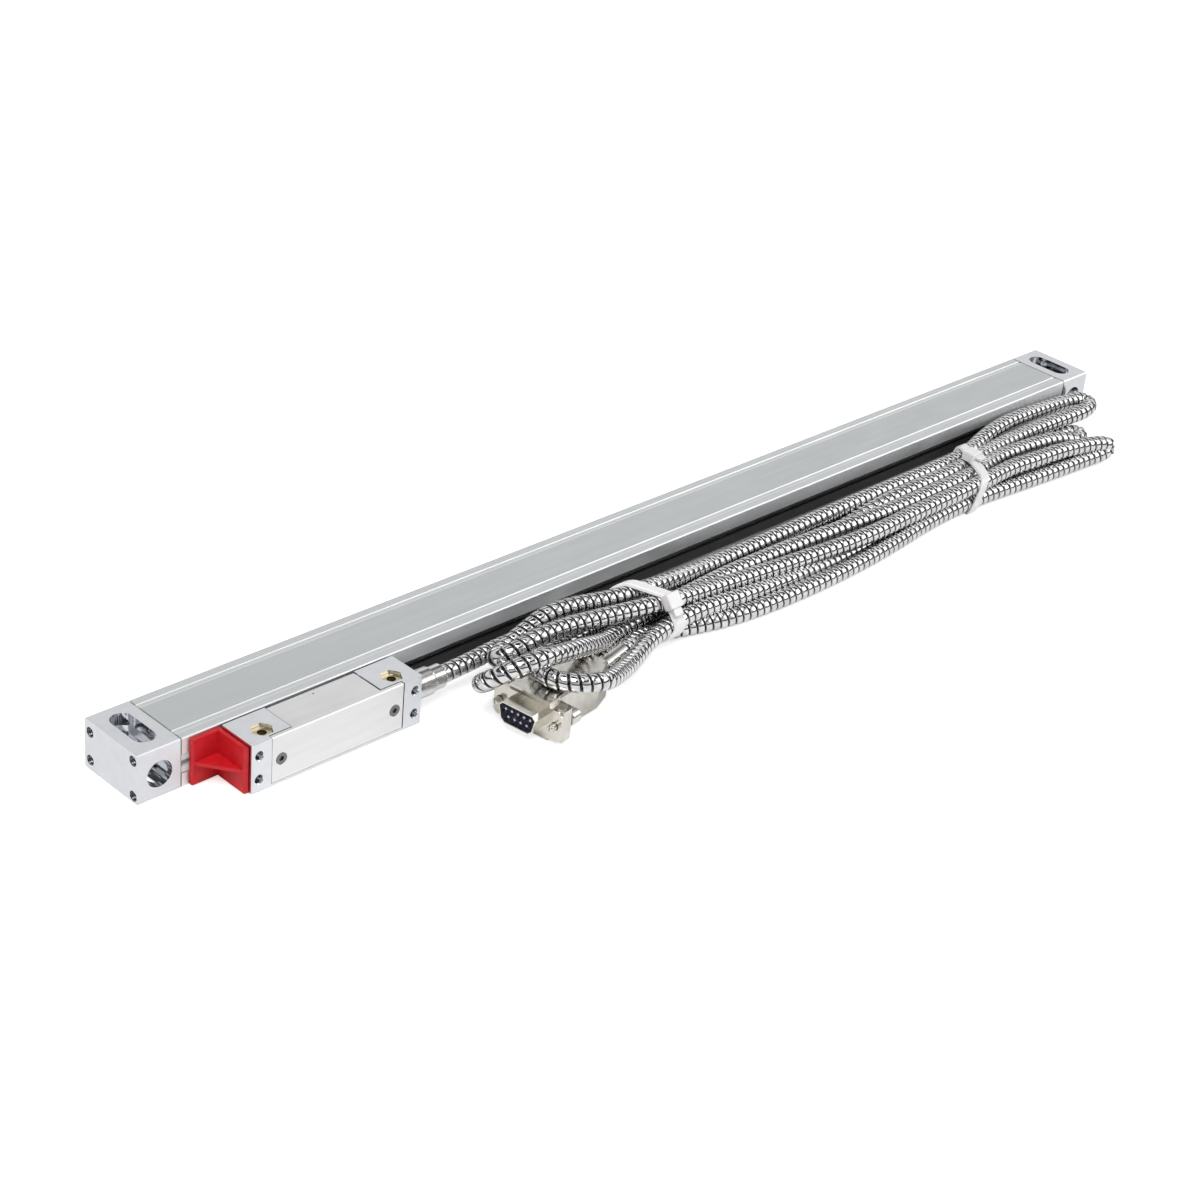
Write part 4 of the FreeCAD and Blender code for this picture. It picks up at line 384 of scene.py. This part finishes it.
def helical_hose(name, line):
    """A tube whose rings follow a helix, so that its grooves run round it like a wound strip."""
    fine, length = even_line(line, WINDING_STEP * MM)
    sides, ups = carried_frames(fine)
    pitch = HOSE_PITCH * MM
    turns = int(length / pitch) + 1
    steps = len(HOSE_PROFILE)
    rings = [(turn + place, radius * MM, groove_shade) for turn in range(-1, turns + 1)
             for place, radius, groove_shade in HOSE_PROFILE]
    places = np.array([ring[0] for ring in rings]) * pitch
    radii = np.array([ring[1] for ring in rings])
    grooves = np.array([ring[2] for ring in rings])
    part = np.arange(HOSE_SIDES) / HOSE_SIDES
    along = np.clip(places[:, None] + part[None, :] * pitch, 0, length)
    index = along / length * (len(fine) - 1)
    low = np.clip(np.floor(index).astype(int), 0, len(fine) - 2)
    share = (index - low)[..., None]

    def between(values):
        """Values of the fine line at the places of the vertices."""
        return values[low] * (1 - share) + values[low + 1] * share

    angle = part * 2 * math.pi
    outward = (between(sides) * np.cos(angle)[None, :, None] + between(ups) * np.sin(angle)[None, :, None])
    vertices = between(fine) + outward * radii[:, None, None]
    count = len(rings)
    faces = []
    for ring in range(count - 1):
        for column in range(HOSE_SIDES):
            after = column + 1
            shift = 0
            if after == HOSE_SIDES:
                after = 0
                shift = steps
            if ring + 1 + shift >= count:
                continue
            faces.append((ring * HOSE_SIDES + column, (ring + shift) * HOSE_SIDES + after,
                          (ring + 1 + shift) * HOSE_SIDES + after, (ring + 1) * HOSE_SIDES + column))
    mesh = bpy.data.meshes.new(name)
    mesh.from_pydata(vertices.reshape(-1, 3).tolist(), [], faces)
    # Share of painted shade at each point, by how far it lies down in the grooves
    depth = mesh.attributes.new("groove_shade", "FLOAT", "POINT")
    depth.data.foreach_set("value", np.repeat(grooves, HOSE_SIDES).astype(np.float32))
    mesh.polygons.foreach_set("use_smooth", [True] * len(mesh.polygons))
    trim = bmesh.new()
    trim.from_mesh(mesh)
    bmesh.ops.dissolve_degenerate(trim, dist=TINY_EDGE, edges=trim.edges)
    loose = [vertex for vertex in trim.verts if not vertex.link_faces]
    bmesh.ops.delete(trim, geom=loose, context="VERTS")
    trim.to_mesh(mesh)
    trim.free()
    return mesh


def band_place(place, lean, y, z):
    """X of a band's leaning plane at a place across the hank."""
    return place + lean[0] * (y - TIE_MIDDLE[0] * MM) + lean[1] * (z - TIE_MIDDLE[1] * MM)


def crossings(line, place, lean):
    """Where the line passes through a band's plane, as (Y, Z)."""
    gaps = [point[0] - band_place(place, lean, point[1], point[2]) for point in line]
    found = []
    for start, end, first, last in zip(line[:-1], line[1:], gaps[:-1], gaps[1:]):
        if first * last <= 0 and first != last:
            found.append(tuple((start + (end - start) * first / (first - last))[1:]))
    return found


def hull_of(points):
    """The convex hull, anticlockwise."""
    points = sorted(set(points))

    def half(run):
        """One side of the hull, without its last point."""
        chain = []
        for point in run:
            while len(chain) > 1:
                (ax, ay), (bx, by) = chain[-2], chain[-1]
                if (bx - ax) * (point[1] - ay) - (by - ay) * (point[0] - ax) > 0:
                    break
                chain.pop()
            chain.append(point)
        return chain[:-1]

    return half(points) + half(reversed(points))


def tie_loop(line, place, lean):
    """The closed line of a band pulled tight round the strands, with its outward directions."""
    reach = (HOSE_RADIUS + TIE_GAP) * MM
    turns = np.linspace(0, 2 * math.pi, TIE_RIM_STEPS, endpoint=False)
    rim = [(y + reach * math.cos(turn), z + reach * math.sin(turn)) for y, z in crossings(line, place, lean)
           for turn in turns]
    hull = np.array(hull_of(rim))
    closed = np.vstack([hull, hull[:1]])
    flat = np.column_stack([closed, np.zeros(len(closed))])
    loop = even_line(flat, BAND_STEP * MM)[0][:-1, :2]
    run = np.roll(loop, -1, axis=0) - np.roll(loop, 1, axis=0)
    outward = np.column_stack([run[:, 1], -run[:, 0]])
    return loop, outward / np.linalg.norm(outward, axis=1)[:, None]


def band_section():
    """Corners of the band's cross-section: place along X and height, with softened outer edges."""
    half = TIE_WIDTH / 2
    thick = TIE_THICKNESS
    soft = TIE_SOFT
    return ((-half, 0.0), (-half, thick - soft), (-half + soft, thick), (-half + 2 * soft, thick),
            (half - 2 * soft, thick), (half - soft, thick), (half, thick - soft), (half, 0.0))


def cable_tie(name, node, line, place, lean, head_seat, material):
    """A nylon tie: the band round the strands, its square head, and the trimmed end of the strap."""
    loop, outward = tie_loop(line, place * MM, lean)
    section = band_section()
    mesh = bmesh.new()
    rows = []
    for point, normal in zip(loop, outward):
        row = []
        for across, height in section:
            y, z = point + normal * height * MM
            row.append(mesh.verts.new((band_place(place * MM, lean, y, z) + across * MM, y, z)))
        rows.append(row)
    for row, after in zip(rows, rows[1:] + rows[:1]):
        for side in range(len(section)):
            other = (side + 1) % len(section)
            mesh.faces.new((row[side], after[side], after[other], row[other]))
    best = int(np.argmin(np.linalg.norm(loop - np.array(head_seat) * MM, axis=1)))
    normal = Vector((0, *outward[best]))
    run = Vector((1, 0, 0)).cross(normal)
    seat = Vector((band_place(place * MM, lean, *loop[best]), *loop[best]))
    middle = seat + normal * TIE_HEAD_RISE * TIE_HEAD[2] * MM
    add_block(mesh, middle, run, normal, TIE_HEAD, TIE_HEAD_SOFT)
    trimmed = seat + (normal * TIE_END_RISE + run * TIE_END_OUT) * MM
    add_block(mesh, trimmed, run, normal, TIE_END, TIE_END_SOFT)
    mesh.normal_update()
    bmesh.ops.recalc_face_normals(mesh, faces=mesh.faces)
    made = bpy.data.meshes.new(name)
    mesh.to_mesh(made)
    mesh.free()
    item = add_object(name, made, "head", material)
    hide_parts(node)
    return item


def add_block(mesh, centre, run, normal, sizes, soft):
    """A block with softened edges whose sides lie along X, run and normal."""
    turn = Matrix((Vector((1, 0, 0)), run, normal)).transposed().to_4x4()
    scale = Matrix.Diagonal((*(side * MM for side in sizes), 1.0))
    made = bmesh.ops.create_cube(mesh, size=1.0, matrix=Matrix.Translation(centre) @ turn @ scale)
    edges = {edge for vertex in made["verts"] for edge in vertex.link_edges}
    bmesh.ops.bevel(mesh, geom=list(edges), offset=soft * MM, segments=3, profile=0.6, affect="EDGES")


# Materials


def new_material(name):
    """A new material, its node tree and its shader."""
    material = bpy.data.materials.new(name)
    material.use_nodes = True
    tree = material.node_tree
    return material, tree, tree.nodes["Principled BSDF"]


def object_place(tree):
    """Places in the object's own space."""
    return tree.nodes.new("ShaderNodeTexCoord").outputs["Object"]


def noise(tree, scale, detail=4.0):
    """Noise in object space, stretched by the scale along each axis."""
    mapping = tree.nodes.new("ShaderNodeMapping")
    mapping.inputs["Scale"].default_value = scale
    texture = tree.nodes.new("ShaderNodeTexNoise")
    texture.inputs["Scale"].default_value = 1.0
    texture.inputs["Detail"].default_value = detail
    texture.inputs["Roughness"].default_value = NOISE_ROUGHNESS
    tree.links.new(object_place(tree), mapping.inputs["Vector"])
    tree.links.new(mapping.outputs["Vector"], texture.inputs["Vector"])
    return texture.outputs["Fac"]


def spread(tree, value, low, high, new_low, new_high):
    """A value carried over from one range to another."""
    node = tree.nodes.new("ShaderNodeMapRange")
    for socket, number in zip(("From Min", "From Max", "To Min", "To Max"), (low, high, new_low, new_high)):
        node.inputs[socket].default_value = number
    tree.links.new(value, node.inputs["Value"])
    return node.outputs["Result"]


def graded(tree, value, low, high):
    """Noise carried over to a range."""
    return spread(tree, value, *NOISE_SPAN, low, high)


def mixed(tree, factor, first, second):
    """Two colours or links mixed by a factor."""
    node = tree.nodes.new("ShaderNodeMix")
    node.data_type = "RGBA"
    tree.links.new(factor, node.inputs["Factor"])
    for socket, colour in (("A", first), ("B", second)):
        target = [found for found in node.inputs if found.name == socket and found.type == "RGBA"][0]
        if isinstance(colour, bpy.types.NodeSocket):
            tree.links.new(colour, target)
        else:
            target.default_value = (*colour, 1.0)
    return [found for found in node.outputs if found.type == "RGBA"][0]


def combined(tree, operation, first, second):
    """Two values put together by a maths operation."""
    node = tree.nodes.new("ShaderNodeMath")
    node.operation = operation
    tree.links.new(first, node.inputs[0])
    tree.links.new(second, node.inputs[1])
    return node.outputs["Value"]


def grey_ramp(tree, value, steps, interpolation="LINEAR", blue=1.0):
    """Greys along a ramp, from pairs of place and brightness, with a little blue if wanted."""
    node = tree.nodes.new("ShaderNodeValToRGB")
    tree.links.new(value, node.inputs["Fac"])
    ramp = node.color_ramp
    ramp.interpolation = interpolation
    while len(ramp.elements) < len(steps):
        ramp.elements.new(0.5)
    for element, (place, grey) in zip(ramp.elements, steps):
        element.position = place
        element.color = (grey, grey, grey * blue, 1)
    return node.outputs["Color"]


def bumped(tree, shader, height, strength, distance):
    """Give the shader a bump from a height."""
    node = tree.nodes.new("ShaderNodeBump")
    node.inputs["Strength"].default_value = strength
    node.inputs["Distance"].default_value = distance * MM
    tree.links.new(height, node.inputs["Height"])
    tree.links.new(node.outputs["Normal"], shader.inputs["Normal"])


def shade(colour, amount):
    """A colour made darker or lighter."""
    return tuple(min(1.0, part * amount) for part in colour)


def finish(name, colour, metallic, rough, grain, vary, bump, depth):
    """A finish with grain in its colour, uneven gloss and a fine bump."""
    material, tree, shader = new_material(name)
    streaks = noise(tree, grain)
    patches = noise(tree, PATCHES, PATCH_DETAIL)
    base = mixed(tree, graded(tree, streaks, 0, 1), shade(colour, 1 - vary), shade(colour, 1 + vary))
    tree.links.new(base, shader.inputs["Base Color"])
    tree.links.new(graded(tree, patches, rough * GLOSSIER, rough * DULLER), shader.inputs["Roughness"])
    shader.inputs["Metallic"].default_value = metallic
    bumped(tree, shader, streaks, bump, depth)
    return material


def banded_finish(name, first, second, scale):
    """Fine parallel bands of two colours."""
    material, tree, shader = new_material(name)
    wave = tree.nodes.new("ShaderNodeTexWave")
    wave.bands_direction = "X"
    wave.inputs["Scale"].default_value = scale
    tree.links.new(object_place(tree), wave.inputs["Vector"])
    tree.links.new(mixed(tree, wave.outputs["Fac"], first, second), shader.inputs["Base Color"])
    tree.links.new(graded(tree, noise(tree, EVEN), *BANDED_ROUGHNESS), shader.inputs["Roughness"])
    return material


def hose_finish():
    """Bright strip-wound steel, made dull and dark in its grooves by painted shade."""
    material, tree, shader = new_material("hose")
    groove_shade = tree.nodes.new("ShaderNodeAttribute")
    groove_shade.attribute_name = "groove_shade"
    tarnish = noise(tree, TARNISH)
    surface = mixed(tree, spread(tree, tarnish, *TARNISH_SPAN, 0, 1), HOSE_BRIGHT, HOSE_TARNISHED)
    # Painted shade: the steel's colour mixed towards near black down in the grooves
    tree.links.new(mixed(tree, groove_shade.outputs["Fac"], surface, HOSE_GROOVE_SHADE), shader.inputs["Base Color"])
    tree.links.new(graded(tree, tarnish, *HOSE_ROUGHNESS), shader.inputs["Roughness"])
    shader.inputs["Metallic"].default_value = 1.0
    bumped(tree, shader, noise(tree, FINE), *HOSE_BUMP)
    return material


def board_finish():
    """Green solder mask over fine tracks."""
    material, tree, shader = new_material("circuit_board")
    tracks = tree.nodes.new("ShaderNodeTexBrick")
    tree.links.new(object_place(tree), tracks.inputs["Vector"])
    tracks.inputs["Scale"].default_value = BOARD_SCALE
    for socket, colour in BOARD_COLOURS.items():
        tracks.inputs[socket].default_value = (*colour, 1)
    tree.links.new(tracks.outputs["Color"], shader.inputs["Base Color"])
    tree.links.new(graded(tree, noise(tree, EVEN), *BOARD_ROUGHNESS), shader.inputs["Roughness"])
    bumped(tree, shader, tracks.outputs["Fac"], *BOARD_BUMP)
    return material


def housing_finish():
    """Satin extrusion with drawing lines, a duller strip between its top grooves, and painted highlights
    along their edges.
    """
    material, tree, shader = new_material("housing")
    low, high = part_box("housing_profile")
    lines = noise(tree, HOUSING_LINES, HOUSING_LINE_DETAIL)
    patches = noise(tree, HOUSING_PATCHES, PATCH_DETAIL)
    split = tree.nodes.new("ShaderNodeSeparateXYZ")
    tree.links.new(object_place(tree), split.inputs["Vector"])
    across = tree.nodes.new("ShaderNodeMath")
    across.operation = "ABSOLUTE"
    tree.links.new(split.outputs["Y"], across.inputs[0])
    middle = spread(tree, across.outputs["Value"], STRIP_FADE[0] * MM, STRIP_FADE[1] * MM, 1, 0)
    top = spread(tree, split.outputs["Z"], high.z - TOP_FADE[0] * MM, high.z - TOP_FADE[1] * MM, 0, 1)
    strip = combined(tree, "MULTIPLY", middle, top)
    drawn = graded(tree, lines, 0, 1)
    plain = mixed(tree, drawn, *HOUSING_PLAIN)
    duller = mixed(tree, drawn, *HOUSING_STRIP)
    # Painted highlights: white mixed into the top face along the grooves' edges on the camera's side
    steps = [((place * MM - low.y) / (high.y - low.y), bright) for place, bright in GROOVE_HIGHLIGHTS]
    edges = grey_ramp(tree, spread(tree, split.outputs["Y"], low.y, high.y, 0, 1), steps, "CONSTANT")
    surface = mixed(tree, strip, plain, duller)
    base = mixed(tree, combined(tree, "MULTIPLY", edges, top), surface, WHITE)
    tree.links.new(base, shader.inputs["Base Color"])
    tree.links.new(graded(tree, patches, *HOUSING_ROUGHNESS), shader.inputs["Roughness"])
    shader.inputs["Metallic"].default_value = HOUSING_METALLIC
    bumped(tree, shader, lines, *HOUSING_BUMP)
    return material


def all_finishes():
    """The record's slots and their finishes."""
    made = {name: finish(name, *look) for name, look in FINISHES.items()}
    made.update({name: banded_finish(name, *look) for name, look in BANDED_FINISHES.items()})
    made["housing"] = housing_finish()
    made["circuit_board"] = board_finish()
    made["hose"] = hose_finish()
    for name, sockets in EXTRA_SOCKETS.items():
        shader = made[name].node_tree.nodes["Principled BSDF"]
        for socket, value in sockets.items():
            shader.inputs[socket].default_value = value
    return made


def dress_nodes(finishes):
    """Give each carried-over CAD node the finish of its slot."""
    slot_of = {part["node"]: part["material_slot"] for part in frame["record"]["subparts"]}
    for name, item in nodes.items():
        item.data.materials.clear()
        item.data.materials.append(finishes[slot_of[name]])


def soften(items):
    """Round the sharp edges of pieces a little, without a change to their own meshes."""
    for item in items:
        weld = item.modifiers.new("weld", "WELD")
        weld.merge_threshold = SOFT_WELD * MM
        bevel = item.modifiers.new("bevel", "BEVEL")
        bevel.width = SOFT_EDGE * MM
        bevel.segments = SOFT_SEGMENTS
        bevel.limit_method = "ANGLE"
        bevel.angle_limit = math.radians(SOFT_ANGLE)
        bevel.harden_normals = True


def plug_box(low, high):
    """A box for cutting, with its corners in the plug's own frame."""
    mesh = bpy.data.meshes.new("cutter")
    block = bmesh.new()
    middle = (Vector(low) + Vector(high)) * MM / 2
    scale = Matrix.Diagonal((*((Vector(high) - Vector(low)) * MM), 1.0))
    place = Matrix.Translation(Vector(PLUG_PLACE) * MM) @ Matrix.Rotation(math.radians(PLUG_YAW), 4, "Z")
    bmesh.ops.create_cube(block, size=1.0, matrix=place @ Matrix.Translation(middle) @ scale)
    block.to_mesh(mesh)
    block.free()
    item = bpy.data.objects.new("cutter", mesh)
    bpy.context.scene.collection.objects.link(item)
    return item


def cut_hood(name, node, material):
    """A half of the plug's hood with its ears cut to the flange's height and recessed on top."""
    mesh = nodes[node].data.copy()
    mesh.transform(nodes[node].matrix_world)
    mesh.materials.clear()
    weld = bmesh.new()
    weld.from_mesh(mesh)
    bmesh.ops.remove_doubles(weld, verts=weld.verts, dist=HOOD_WELD * MM)
    weld.to_mesh(mesh)
    weld.free()
    item = bpy.data.objects.new(name, mesh)
    bpy.context.scene.collection.objects.link(item)
    boxes = []
    for side in (-1, 1):
        near, far = sorted((side * EAR_INNER, side * EAR_OUTER))
        boxes.append(plug_box((EAR_START, near, EAR_RISE), (EAR_END, far, EAR_RISE + EAR_TRIM)))
        boxes.append(plug_box((EAR_START, near, -EAR_RISE - EAR_TRIM), (EAR_END, far, -EAR_RISE)))
        near, far = sorted((side * RECESS_INNER, side * RECESS_OUTER))
        boxes.append(plug_box((RECESS_START, near, EAR_RISE - RECESS_DEPTH),
                              (RECESS_END, far, EAR_RISE + RECESS_OVER)))
    for box in boxes:
        cut = item.modifiers.new("cut", "BOOLEAN")
        cut.object = box
        cut.operation = "DIFFERENCE"
        cut.solver = "EXACT"
    bpy.context.view_layer.update()
    made = bpy.data.meshes.new_from_object(item.evaluated_get(bpy.context.evaluated_depsgraph_get()))
    for old in [item] + boxes:
        data = old.data
        bpy.data.objects.remove(old)
        bpy.data.meshes.remove(data)
    made.name = name
    item = add_object(name, made, "head", material)
    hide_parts(node)
    return item


def cord(finishes):
    """The armoured cord with its hank's two ties and the plug that it ends in."""
    line = smooth_line("cord_line", ROUTE)
    path = even_line(line, PATH_STEP * MM)[0]
    item = add_object("armoured_cord", helical_hose("armoured_cord", line), "head", finishes["hose"])
    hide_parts("cord_lead", "cord_hank", "cord_tail")
    ties = [cable_tie(name, node, path, place, lean, head_seat, finishes["tie"])
            for name, node, place, lean, head_seat in TIES]
    hood = [cut_hood("hood_half_lower", "hood_lower", finishes["hood"]),
            cut_hood("hood_half_upper", "hood_upper", finishes["hood"])]
    soften(hood)


def pin_hole_shade(material):
    """Painted shade for the tiny drilled hole in the top of the head's cover: a dark disc flush with it."""
    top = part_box("head_cover")[1].z
    mesh = bmesh.new()
    place = Matrix.Translation((PIN_HOLE[0] * MM, PIN_HOLE[1] * MM, top))
    bmesh.ops.create_cone(mesh, cap_ends=True, segments=PIN_SIDES, radius1=PIN_RADIUS * MM,
                          radius2=PIN_RADIUS * MM, depth=PIN_THICKNESS * MM, matrix=place)
    made = bpy.data.meshes.new("cover_pin_hole_shade")
    mesh.to_mesh(made)
    mesh.free()
    add_object("cover_pin_hole_shade", made, "head", material)


# Studio


def ray_mask(tree, *kinds):
    """One where a ray is of any of these kinds."""
    path = tree.nodes.new("ShaderNodeLightPath")
    value = path.outputs[kinds[0]]
    for kind in kinds[1:]:
        value = combined(tree, "MAXIMUM", value, path.outputs[kind])
    return value


def floor():
    """A plain pale floor that keeps the object's shadow."""
    mesh = bpy.data.meshes.new("floor")
    corners = [(x * FLOOR_REACH, y * FLOOR_REACH, -FLOOR_DROP * MM)
               for x, y in ((-1, -1), (1, -1), (1, 1), (-1, 1))]
    mesh.from_pydata(corners, [], [(0, 1, 2, 3)])
    item = bpy.data.objects.new("floor", mesh)
    bpy.context.scene.collection.objects.link(item)
    material, tree, shader = new_material("floor")
    shader.inputs["Base Color"].default_value = (*FLOOR_COLOUR, 1)
    shader.inputs["Roughness"].default_value = FLOOR_ROUGHNESS
    shader.inputs["Emission Color"].default_value = (*WHITE, 1)
    glow = spread(tree, ray_mask(tree, "Is Camera Ray"), 0, 1, *FLOOR_GLOW)
    tree.links.new(glow, shader.inputs["Emission Strength"])
    mesh.materials.append(material)


def world():
    """A studio room: dark strips between soft lights, dim behind the camera, and white where it is seen."""
    made = bpy.data.worlds.new("studio")
    bpy.context.scene.world = made
    made.use_nodes = True
    tree = made.node_tree
    background = tree.nodes["Background"]
    place = tree.nodes.new("ShaderNodeTexCoord").outputs["Generated"]
    split = tree.nodes.new("ShaderNodeSeparateXYZ")
    tree.links.new(place, split.inputs["Vector"])
    bands = grey_ramp(tree, split.outputs["Z"], SKY_BANDS, blue=SKY_BLUE)
    toward = tree.nodes.new("ShaderNodeVectorMath")
    toward.operation = "DOT_PRODUCT"
    tree.links.new(place, toward.inputs[0])
    toward.inputs[1].default_value = DIM_SIDE
    dim = spread(tree, toward.outputs["Value"], DIM_START, DIM_FULL, 0, DIM_SHARE)
    room = mixed(tree, dim, bands, DIM_COLOUR)
    lit = mixed(tree, ray_mask(tree, "Is Glossy Ray", "Is Transmission Ray"), SKY_LIGHT, room)
    seen = mixed(tree, ray_mask(tree, "Is Camera Ray"), lit, WHITE)
    tree.links.new(seen, background.inputs["Color"])
    background.inputs["Strength"].default_value = 1.0


def lamp(name, place, size, energy):
    """A square soft light that shines at the origin."""
    data = bpy.data.lights.new(name, "AREA")
    data.shape = "SQUARE"
    data.size = size
    data.energy = energy
    item = bpy.data.objects.new(name, data)
    bpy.context.scene.collection.objects.link(item)
    item.location = place
    item.rotation_euler = (-Vector(place)).to_track_quat("-Z", "Y").to_euler()


camera()
finishes = all_finishes()
dress_nodes(finishes)
soften([nodes["head_block"]])
cord(finishes)
# The lip's near-black finish serves as the pin hole's painted shade
pin_hole_shade(finishes["lip"])
floor()
world()
for name, place, size, energy in LAMPS:
    lamp(name, place, size, energy)
bpy.context.scene.view_settings.view_transform = "Standard"
